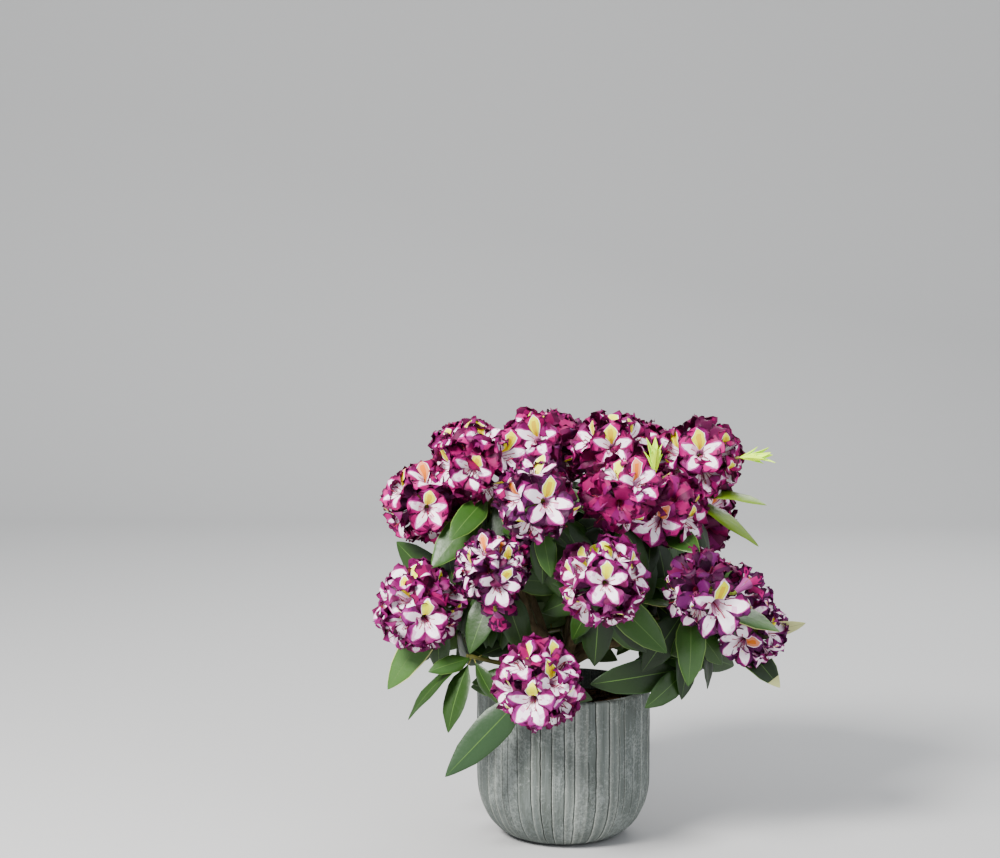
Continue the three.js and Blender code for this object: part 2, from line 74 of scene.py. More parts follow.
MM = 0.001
TURN = 2 * math.pi
GOLDEN_TURN = 2.4
SEAT_GAP = 0.3

# Planter and soil
POT_RADIUS = 130
POT_HEIGHT = 225
FOOT_RADIUS = 65
FOOT_CURVE = 90
WALL = 13
STAVES = 48
SOIL_TOP = 195
SOIL_MOUND = 8
MOUND_RADIUS = 30
MOUND_SLOPE = 86

# Trunk and boughs
TRUNK_RADIUS = 12
TRUNK_TOP_RADIUS = 9
FLARE_RADIUS = 21
FLARE_HEIGHT = 26
TRUNK_FOOT = Vector((0, 0, SOIL_TOP + SOIL_MOUND + SEAT_GAP))
TRUNK_TOP = Vector((9, 4, 285))
BOUGH_BASE_RADIUS = 7.5
SIDE_BOUGH_RADIUS = 5.9
BOUGH_TIP_RADIUS = 4.4
BOUGH_LIFT = 0.14
BOUGH_STEPS = 4
LIMB_BEND = 0.35

# Shoots
STEM_RUN = 24
FORK_DEPTH = 40
TWIG_RADIUS = 3.1
WHORL_DEPTH = 0.8
WHORL_SHARE = 0.64
LOWER_SHARE = 0.3
HEART = Vector((25, 15, 325))
LIGHT_PULL = 0.22

# Leaves
LEAF_LENGTH = 124
LEAF_WIDTH = 42
LEAF_DROOP = 0.22
LOWEST_TIP = 228
LOWER_LEAVES = 4
LEAF_TRIES = 6
GIVEN_TRIES = 8
BUD_STEP = 0.02
WHORL_TILTS = (-0.95, -0.3)
LOWER_TILTS = (-0.6, 0.3)
WHORL_LENGTHS = (0.84, 1.12)
LOWER_LENGTHS = (0.85, 1.15)
LEAF_TONES = ("deep", "mid", "deep", "mid", "light")
LEAF_STRAY = 0.8
LEAF_SPREADS = (0.94, 1.1)
LEAF_BENDS = (0.25, 0.8)
LEAF_ROLLS = (-0.3, 0.3)
SHORTER_EACH_TRY = 0.04
GIVEN_BENDS = (0.5, 0.15)
GIVEN_SPREAD = 1.1
GIVEN_SHAPE = 0.34
GIVEN_PULL = 7

# The masses of the crown, as in the part's source: name, parent, place on the parent's line, and
# shoots. A shoot is (middle of its truss, reach, the way it faces or None, leaves in its whorl,
# given tips, look of its truss, seen florets). A given tip names the tone of its leaf and how far
# the blade rolls. A seen floret is where its throat shows from the front, in shares of the reach
# to the right and up, then its roll and the tone of its flare.
# Given leaves in the pale and cream tones, and the one with a cream tip, carry painted sunlight.
MASSES = [
    ("front_low", "trunk", 0.62, [
        ((-35, -203, 269), 71, (-0.05, -1, 0.16), 4, [(-172, -205, 132, "sheen", 0)], "starry", [
            (-0.1, -0.16, 0, "cream"), (-0.31, 0.47, 0.2, "cream"), (0.33, 0.18, 0.3, "gold"),
            (-0.56, -0.08, -0.2, "cream"), (0.5, -0.26, 0.1, "cream"), (0.2, -0.56, 0.3, "cream"),
            (0.38, 0.46, -0.3, "cream"), (-0.34, -0.5, 0, "cream"), (0.04, 0.6, 0, "plain")]),
        ((-138, -122, 294), 0, (-0.45, -0.6, 0.1), 6, [
            (-224, -150, 205, "mid", 0.7), (-166, -155, 188, "mid", 0), (-93, -140, 227, "mid", 0),
            (-195, -150, 276, "light", 0), (-62, -96, 312, "deep", 0)], None, [])]),
    ("left", "trunk", 0.78, [
        ((-209, -110, 362), 72, (-0.45, -1, 0.18), 7, [(-280, -105, 238, "pale", 0)], "starry", [
            (0.14, -0.12, 0, "cream"), (0.5, 0.35, 0.2, "cream"), (-0.24, 0.29, 0.2, "gold"),
            (-0.5, -0.36, 0, "cream"), (0.58, -0.2, 0, "cream"), (-0.18, 0.58, 0, "cream"),
            (0.06, -0.6, 0.4, "cream"), (-0.6, 0.14, 0, "cream"), (0.16, 0.44, 0, "plain")]),
        ((-101, -165, 427), 60, (-0.25, -1, 0.35), 7, [(-137, -152, 304, "mid", 0)], "slender", [
            (0.14, -0.23, -0.3, "gold"), (0.35, 0.19, 0, "gold"), (-0.16, 0.5, 0.5, "amber"),
            (-0.55, 0.1, -0.3, "gold"), (0.12, -0.8, 0, "back"), (-0.05, 0.12, 0, "dark")])]),
    ("centre", "trunk", 0.9, [
        ((55, -216, 419), 69, (0.05, -1, 0.3), 7,
         [(147, -200, 317, "light", 0), (12, -142, 322, "mid", 0)], "starry", [
            (0.04, 0.1, 0, "cream"), (-0.43, 0.38, 0.3, "cream"), (0.26, 0.55, 0.2, "cream"),
            (0.58, 0.18, 0, "cream"), (-0.38, -0.43, 0.3, "cream"), (0.14, -0.58, 0, "cream"),
            (-0.6, 0, 0, "cream"), (0.5, -0.36, 0, "cream")])]),
    ("right", "trunk", 0.7, [
        ((199, -154, 400), 64, (0.4, -1, 0.5), 7, [
            (180, -178, 265, "light", 0), (309, -150, 337, "pale", -0.55), (120, -170, 388, "pale", 0.9),
            (266, -100, 424, "pale", -0.6)], "bold", [
            (0.27, -0.28, -0.05, "gold"), (-0.34, 0.5, 0.4, "dark"), (0.12, 0.5, -0.4, "dark"),
            (0.85, 0.15, 0, "back"), (-0.6, -0.14, 0.3, "gold"), (-0.26, 0.06, 0, "dark")]),
        ((275, -80, 326), 57, (0.8, -0.75, 0.1), 7,
         [(315, -100, 245, "tipped", 0.5), (352, -90, 339, "cream", 0.7)], "mauve", [
            (-0.3, -0.18, -1.4, "amber"), (0.5, 0.4, 0.6, "amber"), (0.34, -0.46, 0.3, "amber")]),
        ((184, -98, 272), 0, (0.2, -1, 0.1), 3,
         [(38, -130, 255, "deep", 0), (117, -150, 225, "mid", 0)], None, [])]),
    ("left_high", "left", 0.42, [
        ((-206, -55, 509), 66, None, 7, [], "vivid_sunlit", [
            (0.12, -0.06, 0, "gold"), (0.1, 0.55, 0, "amber"), (-0.5, 0.3, 0, "gold"),
            (-0.5, -0.34, 0.4, "gold"), (0.14, -0.6, 0, "gold")]),
        ((-127, -90, 574), 66, None, 7, [(-200, -131, 441, "light", -0.8), (-163, -150, 467, "light", -0.7)],
         "vivid_sunlit", [
            (0.6, 0.16, -0.3, "gold"), (-0.08, -0.12, -0.4, "gold"), (-0.4, 0.5, 0, "gold"),
            (0.2, 0.56, 0, "gold"), (-0.58, -0.1, 0, "gold"), (0.3, -0.52, 0, "gold")])]),
    ("front_high", "centre", 0.35, [
        ((-38, -212, 536), 66, (-0.1, -1, 0.8), 7,
         [(-18, -190, 421, "light", 0), (-5, -150, 386, "mid", 0)], "violet", [
            (0.2, 0.02, -0.2, "gold"), (-0.2, -0.5, 0, "gold"), (0.62, -0.46, 0, "gold"),
            (-0.45, 0.08, 0.3, "amber"), (-0.02, 0.6, -0.3, "cream"), (-0.6, -0.3, 0, "dark")])]),
    ("right_high", "right", 0.45, [
        ((77, -163, 535), 58, (0.1, -0.9, 1), 7, [], "rosy_sunlit", [
            (0.42, 0.34, 0.1, "amber"), (-0.48, 0.12, 0, "plain"), (0.02, -0.14, 0, "plain"),
            (0.2, -0.58, 0, "gold"), (-0.4, -0.46, 0, "plain")]),
        ((150, -106, 507), 61, (0.45, -1, 0.7), 7,
         [(193, -162, 452, "light", 0.4), (124, -130, 415, "deep", 0)], "rosy_sunlit", [
            (-0.26, -0.2, -0.5, "amber"), (0.1, 0.36, 0, "plain"), (0.46, -0.24, 0.3, "gold"),
            (-0.28, -0.6, 0, "gold")])]),
    ("top", "trunk", 1, [
        ((-31, 2, 583), 66, None, 7, [], "vivid_sunlit", [
            (-0.13, 0.27, 0, "gold"), (0.3, 0.4, 0.3, "plain"), (-0.45, 0.45, 0, "gold"),
            (0.5, 0, 0, "dark")]),
        ((70, -41, 584), 66, None, 7, [], "vivid_sunlit", [
            (0, 0.16, 0, "gold"), (-0.5, 0.3, 0, "gold"), (0.5, 0.34, 0.2, "gold"),
            (-0.3, -0.5, 0, "dark")])]),
    ("right_top", "top", 0.35, [
        ((200, 5, 566), 71, (0.55, -0.35, 1), 7,
         [(291, -30, 447, "young", 0.2), (297, -50, 506, "young", 0.25)], "vivid_sunlit", [
            (0, 0.22, 0.1, "gold"), (-0.52, 0.22, 0, "gold"), (0.08, -0.25, 0.9, "gold"),
            (0.52, 0.16, 0, "gold"), (0.5, -0.3, 0.5, "gold"), (0.2, -0.6, 0, "dark")])]),
    ("back_right", "trunk", 0.82, [
        ((258, 60, 335), 62, None, 7, [], "mauve", []),
        ((178, 186, 340), 66, None, 7, [], "starry", [])]),
    ("back_low", "trunk", 0.68, [
        ((34, 226, 318), 68, None, 7, [], "starry", []),
        ((-42, 150, 276), 0, (-0.3, 1, 0.1), 7, [], None, [])]),
    ("back_left", "trunk", 0.74, [
        ((-112, 186, 340), 66, None, 7, [], "starry", []),
        ((-206, 70, 345), 66, None, 7, [], "mauve", [])]),
    ("back_mid", "back_low", 0.4, [
        ((98, 208, 472), 64, None, 7, [], "violet", []),
        ((-38, 208, 470), 64, None, 7, [], "starry", [])]),
    ("back_right_high", "back_right", 0.4, [
        ((206, 120, 468), 62, None, 7, [], "vivid_sunlit", []),
        ((115, 107, 558), 60, None, 7, [], "vivid_sunlit", [])]),
    ("back_left_high", "back_left", 0.4, [
        ((-170, 118, 474), 62, None, 7, [], "vivid_sunlit", []),
        ((-148, 45, 568), 58, None, 7, [], "vivid_sunlit", [])]),
    ("top_back", "top", 0.55, [
        ((-16, 128, 570), 60, None, 7, [], "vivid_sunlit", [])]),
]

# Tufts of young leaves: mass, foot, way they point, leaves and their length.
TUFTS = [
    ("right_high", (130, -120, 556), (0, -0.15, 1), 13, 60),
    ("right_top", (254, -34, 574), (1, -0.35, 0.12), 13, 56),
]
TUFT_SHAPE = 0.17
TUFT_LEANS = (0.06, 0.5)
TUFT_ROUND = 6
TUFT_REACHES = (0.75, 1.05)
TUFT_LONG_LEAVES = 5
TUFT_SHORTER = 0.75
TUFT_BEND = 0.35
TUFT_FOLD = -0.8
TUFT_SEED = 5000

# The pieces of the crown: each group of masses has its own leaves, blossom and twigs.
GROUPS = {
    "low_front": ["front_low", "left", "centre"],
    "right_side": ["right", "right_high", "right_top"],
    "high_front": ["left_high", "front_high", "top"],
    "high_back": ["top_back", "back_right_high", "back_left_high"],
    "back_sides": ["back_right", "back_left"],
    "back_middle": ["back_low", "back_mid"],
}


def chance(seed):
    """A repeatable number from 0 to 1 for each seed."""
    x = math.sin(seed * 12.9898 + 4.1414) * 43758.5453
    return x - math.floor(x)


def between(low, high, share):
    return low + (high - low) * share


# How the plant grows

def bezier(a, b, c, d, steps):
    """Points along a cubic curve, by even steps of its parameter."""
    line = []
    for i in range(steps + 1):
        t = i / steps
        u = 1 - t
        line.append(a * u ** 3 + b * (3 * u * u * t) + c * (3 * u * t * t) + d * t ** 3)
    return line


def on_line(line, share):
    """The point at a share of a line, counted in steps."""
    step = min(int(share * (len(line) - 1)), len(line) - 2)
    return line[step].lerp(line[step + 1], share * (len(line) - 1) - step)


class Shoot:
    """A twig with whorls of leaves and, where its reach isn't zero, a truss."""

    def __init__(self, place, reach, turn, leaves, tips, look, seen):
        self.middle = Vector(place)
        self.reach = reach
        if turn:
            self.axis = Vector(turn).normalized()
        else:
            outward = (self.middle - HEART).normalized()
            self.axis = (outward + Vector((0, 0, LIGHT_PULL))).normalized()
        self.whorl = self.middle - self.axis * WHORL_DEPTH * reach
        self.leaves = leaves
        self.tips = tips
        self.look = look
        self.seen = seen
        self.seed = 0


class Mass:
    """A stem that forks into shoots, and the bough that carries it."""

    def __init__(self, name, parent, at, shoots):
        self.name = name
        self.parent = parent
        self.at = at
        self.shoots = [Shoot(*shoot) for shoot in shoots]
        middle = sum((s.whorl for s in self.shoots), Vector()) / len(self.shoots)
        axis = sum((s.axis for s in self.shoots), Vector()).normalized()
        outward = ((middle - TRUNK_TOP).normalized() + axis).normalized()
        self.fork = middle - outward * FORK_DEPTH
        self.way = ((self.fork - TRUNK_TOP).normalized() + outward).normalized()
        self.foot = self.fork - self.way * STEM_RUN


def trunk_line():
    bend = TRUNK_FOOT + Vector((0, 0, FLARE_HEIGHT / 3))
    first = Vector((0, 0, TRUNK_FOOT.z + 35))
    second = Vector((5, 1, TRUNK_TOP.z - 35))
    return [TRUNK_FOOT] + bezier(bend, first, second, TRUNK_TOP, 5)


def bough_line(mass, parent):
    """A bough bends from its parent's line to the way its mass grows."""
    start = on_line(parent, mass.at)
    bend = mass.foot - mass.way * (SEAT_GAP + BOUGH_TIP_RADIUS)
    span = (bend - start).length
    first = start.lerp(bend, 0.3) + Vector((0, 0, BOUGH_LIFT * span))
    second = bend - mass.way * LIMB_BEND * span
    return bezier(start, first, second, bend, BOUGH_STEPS) + [mass.foot - mass.way * SEAT_GAP]


def twig_line(mass, shoot):
    """A twig bends from the fork of its mass to the whorl, then runs into the truss."""
    span = (shoot.whorl - mass.fork).length
    first = mass.fork + mass.way * LIMB_BEND * span
    second = shoot.whorl - shoot.axis * LIMB_BEND * span
    end = shoot.whorl + shoot.axis * (WHORL_DEPTH * shoot.reach + 3)
    return bezier(mass.fork, first, second, shoot.whorl, 2) + [end]


def square_to(axis, guide):
    """Two directions square to an axis, the first as near to the guide as can be."""
    first = (guide - axis * guide.dot(axis)).normalized()
    return first, axis.cross(first)


def round_about(axis):
    """Two directions square to an axis, the first upright unless the axis nearly is."""
    guide = Vector((0, 0, 1)) if abs(axis.z) < 0.9 else Vector((0, 1, 0))
    return square_to(axis, guide)


def leaf_of(root, tip, face, width, sag, tone, roll):
    return {
        "root": root, "tip": tip, "face": face, "width": width, "sag": sag, "tone": tone, "roll": roll}


def given_tries(shoot):
    """The ways to grow each leaf with a given tip."""
    offered = []
    for i, (*tip, tone, roll) in enumerate(shoot.tips):
        tries = []
        for k in range(GIVEN_TRIES):
            root = on_line(shoot.line, WHORL_SHARE - BUD_STEP * i - 1.5 * BUD_STEP * (k % 4))
            end = Vector(tip) - shoot.axis * GIVEN_PULL * k
            width = min(GIVEN_SPREAD * LEAF_WIDTH, GIVEN_SHAPE * (end - root).length)
            sag = between(*GIVEN_BENDS, k / GIVEN_TRIES)
            tries.append(leaf_of(root, end, shoot.axis, width, sag, tone, roll))
        offered.append(tries)
    return offered


def whorl_tries(shoot, count, share, tilts, lengths, seed):
    """The ways to grow each leaf of a whorl."""
    first, second = round_about(shoot.axis)
    offered = []
    for i in range(count):
        tries = []
        for k in range(LEAF_TRIES):
            draws = [chance(seed + 31 * i + 7 * k + n) for n in range(6)]
            turn = (i + LEAF_STRAY * draws[1]) * TURN / count + seed
            tilt = between(*tilts, draws[2])
            heading = first * math.cos(turn) * math.cos(tilt)
            heading += second * math.sin(turn) * math.cos(tilt)
            heading += shoot.axis * math.sin(tilt) - Vector((0, 0, LEAF_DROOP))
            length = LEAF_LENGTH * between(*lengths, draws[3]) * (1 - SHORTER_EACH_TRY * k)
            root = on_line(shoot.line, share - BUD_STEP * (i % 3))
            tip = root + heading.normalized() * length
            if tip.z < LOWEST_TIP:
                continue
            width = LEAF_WIDTH * length / LEAF_LENGTH * between(*LEAF_SPREADS, draws[4])
            tone = LEAF_TONES[int(len(LEAF_TONES) * draws[0])]
            sag = between(*LEAF_BENDS, draws[5])
            roll = between(*LEAF_ROLLS, draws[0])
            tries.append(leaf_of(root, tip, shoot.axis, width, sag, tone, roll))
        offered.append(tries)
    return offered


def leaves_offered(shoot):
    """Every leaf that a shoot may bear, each with a few ways it may turn."""
    offered = given_tries(shoot)
    count = shoot.leaves - len(offered)
    offered += whorl_tries(shoot, count, WHORL_SHARE, WHORL_TILTS, WHORL_LENGTHS, shoot.seed + 20)
    offered += whorl_tries(shoot, LOWER_LEAVES, LOWER_SHARE, LOWER_TILTS, LOWER_LENGTHS, shoot.seed + 60)
    return offered


masses = {row[0]: Mass(*row) for row in MASSES}
every_shoot = [shoot for mass in masses.values() for shoot in mass.shoots]
lines = {"trunk": trunk_line()}
for number, shoot in enumerate(every_shoot):
    shoot.seed = 100 * (number + 1)
for mass in masses.values():
    lines[mass.name] = bough_line(mass, lines[mass.parent])
    for shoot in mass.shoots:
        shoot.line = twig_line(mass, shoot)


# Meshes from arrays

class Heap:
    """Points and faces of many like things, gathered for one joined mesh."""

    def __init__(self):
        self.points = []
        self.faces = []
        self.finishes = []
        self.count = 0

    def add(self, points, faces, finishes):
        """A row of faces holds four corners, one of them -1 in a triangle."""
        self.points.append(points)
        self.faces.append(np.where(faces >= 0, faces + self.count, -1))
        self.finishes.append(np.broadcast_to(finishes, len(faces)))
        self.count += len(points)

    def piece(self, name, materials, sharp_angle=1.1):
        """The joined mesh as an object, smooth but for its thin edges."""
        points = np.concatenate(self.points) * MM
        faces = np.concatenate(self.faces)
        real = faces >= 0
        sizes = real.sum(axis=1)
        mesh = bpy.data.meshes.new(name)
        mesh.vertices.add(len(points))
        mesh.vertices.foreach_set("co", points.astype(np.float32).ravel())
        mesh.loops.add(int(sizes.sum()))
        mesh.loops.foreach_set("vertex_index", faces[real].astype(np.int32))
        mesh.polygons.add(len(faces))
        mesh.polygons.foreach_set("loop_start", np.concatenate([[0], np.cumsum(sizes)[:-1]]))
        mesh.polygons.foreach_set("material_index", np.concatenate(self.finishes).astype(np.int32))
        mesh.update(calc_edges=True)
        mesh.shade_smooth()
        mesh.set_sharp_from_angle(angle=sharp_angle)
        for material in materials:
            mesh.materials.append(material)
        made = bpy.data.objects.new(name, mesh)
        bpy.context.scene.collection.objects.link(made)
        return made


def sheet_faces(rows, cols):
    """The faces of a thin closed sheet on a grid of points: its upper side, then its lower."""
    upper = np.arange(rows * cols).reshape(rows, cols)
    lower = upper.copy()
    inside = (rows - 2) * (cols - 2)
    lower[1:-1, 1:-1] = rows * cols + np.arange(inside).reshape(rows - 2, cols - 2)

    def quads(grid, order):
        corners = [grid[:-1, :-1], grid[:-1, 1:], grid[1:, 1:], grid[1:, :-1]]
        return np.stack([corners[i].ravel() for i in order], axis=1)

    return np.concatenate([quads(upper, (0, 1, 2, 3)), quads(lower, (3, 2, 1, 0))])


def sheet_points(middle, thickness):
    """The points of a thin closed sheet round a grid of points in its middle."""
    across = np.gradient(middle, axis=1)
    along = np.gradient(middle, axis=0)
    up = np.cross(across, along)
    up /= np.maximum(np.linalg.norm(up, axis=2, keepdims=True), 1e-9)
    half = up * thickness / 2
    upper = middle.copy()
    upper[1:-1, 1:-1] += half[1:-1, 1:-1]
    lower = (middle - half)[1:-1, 1:-1]
    return np.concatenate([upper.reshape(-1, 3), lower.reshape(-1, 3)])


def smooth_line(line, rounds):
    """Cuts the corners of a line, and keeps its ends."""
    points = np.array([tuple(p) for p in line])
    for _ in range(rounds):
        near = points[:-1] * 0.75 + points[1:] * 0.25
        far = points[:-1] * 0.25 + points[1:] * 0.75
        cut = np.stack([near, far], axis=1).reshape(-1, 3)
        points = np.concatenate([points[:1], cut[1:-1], points[-1:]])
    return points


def ringed_faces(count, sides):
    """The faces of a closed skin over rings of points, and the point after them at each end."""
    grid = np.arange(count * sides).reshape(count, sides)
    turned = np.roll(grid, -1, axis=1)
    walls = np.stack([grid[:-1], turned[:-1], turned[1:], grid[1:]], axis=2).reshape(-1, 4)
    first, last, blank = (np.full(sides, corner) for corner in (count * sides, count * sides + 1, -1))
    start = np.stack([turned[0], grid[0], first, blank], axis=1)
    end = np.stack([grid[-1], turned[-1], last, blank], axis=1)
    return np.concatenate([walls, start, end])


def tube(heap, line, radii, sides, finish, relief=None):
    """A closed tube along a line of points; relief gives each ring's radii a shape."""
    points = np.asarray(line, dtype=float)
    along = np.gradient(points, axis=0)
    along /= np.linalg.norm(along, axis=1, keepdims=True)
    guide = np.array([0.0, 0, 1]) if abs(along[0][2]) < 0.8 else np.array([1.0, 0, 0])
    turns = np.arange(sides) * TURN / sides
    rings = []
    for centre, way, radius in zip(points, along, radii):
        guide = guide - way * guide.dot(way)
        guide /= np.linalg.norm(guide)
        third = np.cross(way, guide)
        reach = radius * (1 if relief is None else relief(centre, turns))
        ring = np.outer(np.cos(turns) * reach, guide) + np.outer(np.sin(turns) * reach, third)
        rings.append(centre + ring)
    ends = [points[:1], points[-1:]]
    heap.add(np.concatenate(rings + ends), ringed_faces(len(points), sides), finish)


# Finishes

class Wire:
    """A shader socket that can stand in a sum, which then adds the Math nodes."""

    def __init__(self, kit, socket):
        self.kit = kit
        self.socket = socket

    def _math(self, operation, first, second):
        return self.kit.node("ShaderNodeMath", {"operation": operation}, {0: first, 1: second})

    def __add__(self, other):
        return self._math("ADD", self, other)

    def __radd__(self, other):
        return self._math("ADD", other, self)

    def __sub__(self, other):
        return self._math("SUBTRACT", self, other)

    def __rsub__(self, other):
        return self._math("SUBTRACT", other, self)

    def __mul__(self, other):
        return self._math("MULTIPLY", self, other)

    def __rmul__(self, other):
        return self._math("MULTIPLY", other, self)


class Finish:
    """One material: its shader's own numbers, and the nodes that feed it."""

    def __init__(self, name, **numbers):
        self.material = bpy.data.materials.new(name)
        self.material.use_nodes = True
        self.tree = self.material.node_tree
        self.shader = self.tree.nodes["Principled BSDF"]
        for socket, number in numbers.items():
            self.shader.inputs[socket.replace("_", " ")].default_value = number

    def node(self, kind, settings=None, inputs=None, output=0):
        """Adds a node, sets it, then gives its sockets values or links."""
        made = self.tree.nodes.new(kind)
        for key, value in (settings or {}).items():
            if key == "stops":
                self._stops(made, value)
            else:
                setattr(made, key, value)
        for key, value in (inputs or {}).items():
            self._feed(made.inputs[key], value)
        return Wire(self, made.outputs[output])

    def _stops(self, ramp, stops):
        elements = ramp.color_ramp.elements
        while len(elements) < len(stops):
            elements.new(0.5)
        for element, (place, colour) in zip(elements, stops):
            element.position = place
            element.color = colour

    def _feed(self, socket, value):
        if isinstance(value, Wire):
            self.tree.links.new(value.socket, socket)
        else:
            socket.default_value = value

    def feed(self, socket, wire):
        self.tree.links.new(wire.socket, self.shader.inputs[socket])

    def place(self, scale=(1, 1, 1)):
        """Where a point is on the object, stretched by a scale."""
        spot = self.node("ShaderNodeTexCoord", output="Object")
        return self.node("ShaderNodeMapping", inputs={"Vector": spot, "Scale": scale})

    def noise(self, scale, detail=3.0, rough=0.5, stretch=(1, 1, 1)):
        return self.node("ShaderNodeTexNoise", inputs={
            "Vector": self.place(stretch), "Scale": scale, "Detail": detail, "Roughness": rough})

    def ramp(self, factor, stops):
        return self.node("ShaderNodeValToRGB", {"stops": stops}, {"Fac": factor})

    def mix(self, factor, first, second):
        """A mixed colour: the node's sockets 0, 6 and 7 hold the factor and the two colours."""
        inputs = {0: factor, 6: first, 7: second}
        return self.node("ShaderNodeMix", {"data_type": "RGBA"}, inputs, output=2)

    def bump(self, height, strength, distance):
        return self.node("ShaderNodeBump", inputs={
            "Height": height, "Strength": strength, "Distance": distance})


def colour(code):
    """The linear colour of a hexadecimal code."""
    channels = []
    for i in (0, 2, 4):
        value = int(code[i:i + 2], 16) / 255
        channels.append(value / 12.92 if value <= 0.04045 else ((value + 0.055) / 1.055) ** 2.4)
    return (*channels, 1.0)


def petal_finish(name, code):
    """Thin, soft petal skin with faint veins in its surface."""
    finish = Finish(name, Base_Color=colour(code), Specular_IOR_Level=0.15)
    grain = finish.noise(420, 2.0, 0.6)
    finish.feed("Roughness", grain * 0.2 + 0.45)
    finish.feed("Normal", finish.bump(grain, 0.25, 0.0006))
    return finish.material


def leaf_finish(name, code):
    """Leathery leaf skin: a soft gloss broken by fine wrinkles."""
    finish = Finish(name, Base_Color=colour(code), Specular_IOR_Level=0.35)
    wrinkles = finish.noise(160, 3.0, 0.55)
    finish.feed("Roughness", wrinkles * 0.18 + 0.33)
    finish.feed("Normal", finish.bump(wrinkles, 0.35, 0.0012))
    return finish.material


# cerise is partly painted sunlight, the magenta of sunlit margins, and the strong magenta-pink margin tone
# after it is a painted highlight of sunlight on the rims of the upper trusses.
PETAL_CODES = {
    "white": "FFF0FC", "blush": "E8B4D8", "pink": "AE3E8A", "mauve": "7A2068", "rose": "6C0450",
    "purple": "4C0644", "plum": "34062A", "cerise": "7E004A", "hot": "A20066", "wine": "500434",
    "cream": "F0FA3C", "yellow": "ECEC00", "gold": "DCBA00", "amber": "D8701A", "salmon": "E08A62",
    "crimson": "B23A62", "outside": "8A0456", "outside_deep": "5E0440", "tube": "8A3C76",
    "filament": "B4608C", "anther": "5E4028", "pistil": "861638", "stalk": "7C8A34",
}
PETALS = {name: i for i, name in enumerate(PETAL_CODES)}
# The pale and cream leaf tones, and the cream edge, are painted sunlight: lighter leaves and rims where sun
# shines through and glances off them.
LEAF_CODES = {
    "deep": "142808", "mid": "1F3A0D", "light": "294A14", "pale": "3A5E24", "young": "5A7410",
    "cream": "B4B87A", "sheen": "253F22", "lime": "D4FF00", "deep_edge": "213D16",
    "light_edge": "5C7A34", "cream_edge": "B8BC76", "rib": "45642A", "under": "58723F",
    "stalk": "74702A", "twig": "555424", "twig_brown": "4A3820",
}
LEAVES = {name: i for i, name in enumerate(LEAF_CODES)}

# The margin that goes with each tone of leaf; the cream edge of pale and cream leaves is painted sunlight
LEAF_EDGES = {
    "deep": "deep_edge", "mid": "deep_edge", "sheen": "deep_edge", "light": "light_edge",
    "pale": "cream_edge", "young": "young", "cream": "cream_edge", "lime": "lime",
    "tipped": "light_edge",
}
# Where the cream tip of a leaf begins; the tip is a painted patch of sunlight.
SUN_TIP_FROM = 0.8


# Leaves

LEAF_ROWS = np.array([0, 0.06, 0.12, 0.17, 0.23, 0.31, 0.42, 0.54, 0.66, 0.77, 0.87, 0.94, 0.98, 1])
LEAF_OUTLINE = np.interp(
    LEAF_ROWS,
    [0, 0.12, 0.2, 0.3, 0.43, 0.58, 0.77, 0.9, 0.97, 1],
    [0.06, 0.05, 0.33, 0.74, 1, 0.99, 0.76, 0.4, 0.16, 0.012])
LEAF_ACROSS = np.array([-1, -0.94, -0.62, -0.3, -0.028, 0.028, 0.3, 0.62, 0.94, 1])
LEAF_FACES = sheet_faces(len(LEAF_ROWS), len(LEAF_ACROSS))
LEAF_KEEL = 2.2
LEAF_FOLDS = (-0.6, 1.6)
LEAF_WAVE = 0.035
LEAF_WAVES = 2.3
VEIN_HEIGHT = 0.45
VEINS = 9
VEIN_SLANT = 0.9
BLADE_SPREAD = 1.08
LEAF_THICK = 1.1
YOUNG_SLIM = 0.66

# Where a leaf is tried for room, and how near it may come to a truss and to the planter's rim
ROOM_PLACES = (0.3, 0.5, 0.7, 0.85, 1)
TRUSS_ROOM = 0.96
RIM_ROOM = 4

# How near a tip is to a point of the solid that bears it, and the sizes of the leaves added
TIP_MATCH = 0.4
SHORTER_SIZES = (0.85, 0.7, 0.58)


def leaf_finishes(tone):
    """The finish of each face of a leaf: skin, pale rib and edge above, one tone below."""
    rows, cols = len(LEAF_ROWS) - 1, len(LEAF_ACROSS) - 1
    upper = np.full((rows, cols), LEAVES["deep" if tone == "tipped" else tone])
    upper[:, cols // 2] = LEAVES["rib"]
    upper[:, [0, -1]] = LEAVES[LEAF_EDGES[tone]]
    upper[:2] = LEAVES["stalk"]
    # A cream tip is painted sunlight on the leaf.
    if tone == "tipped":
        upper[LEAF_ROWS[:-1] > SUN_TIP_FROM] = LEAVES["cream"]
    lower = np.full((rows, cols), LEAVES[tone if tone in ("lime", "young") else "under"])
    lower[:, cols // 2] = LEAVES["rib"]
    lower[:2] = LEAVES["stalk"]
    return np.concatenate([upper.ravel(), lower.ravel()])


def arch(leaf):
    """The frame of a leaf that arches from its root to its tip, as in the solids."""
    chord = leaf["tip"] - leaf["root"]
    half = leaf["sag"] / 2
    bow = chord.length / (2 * math.sin(half))
    along = chord.normalized()
    out = (leaf["face"] - along * leaf["face"].dot(along)).normalized()
    out = Quaternion(along, leaf["roll"]) @ out
    heading = along * math.cos(half) + out * math.sin(half)
    face = out * math.cos(half) - along * math.sin(half)
    return [np.array(v) for v in (leaf["root"], heading, face, heading.cross(face))] + [bow]


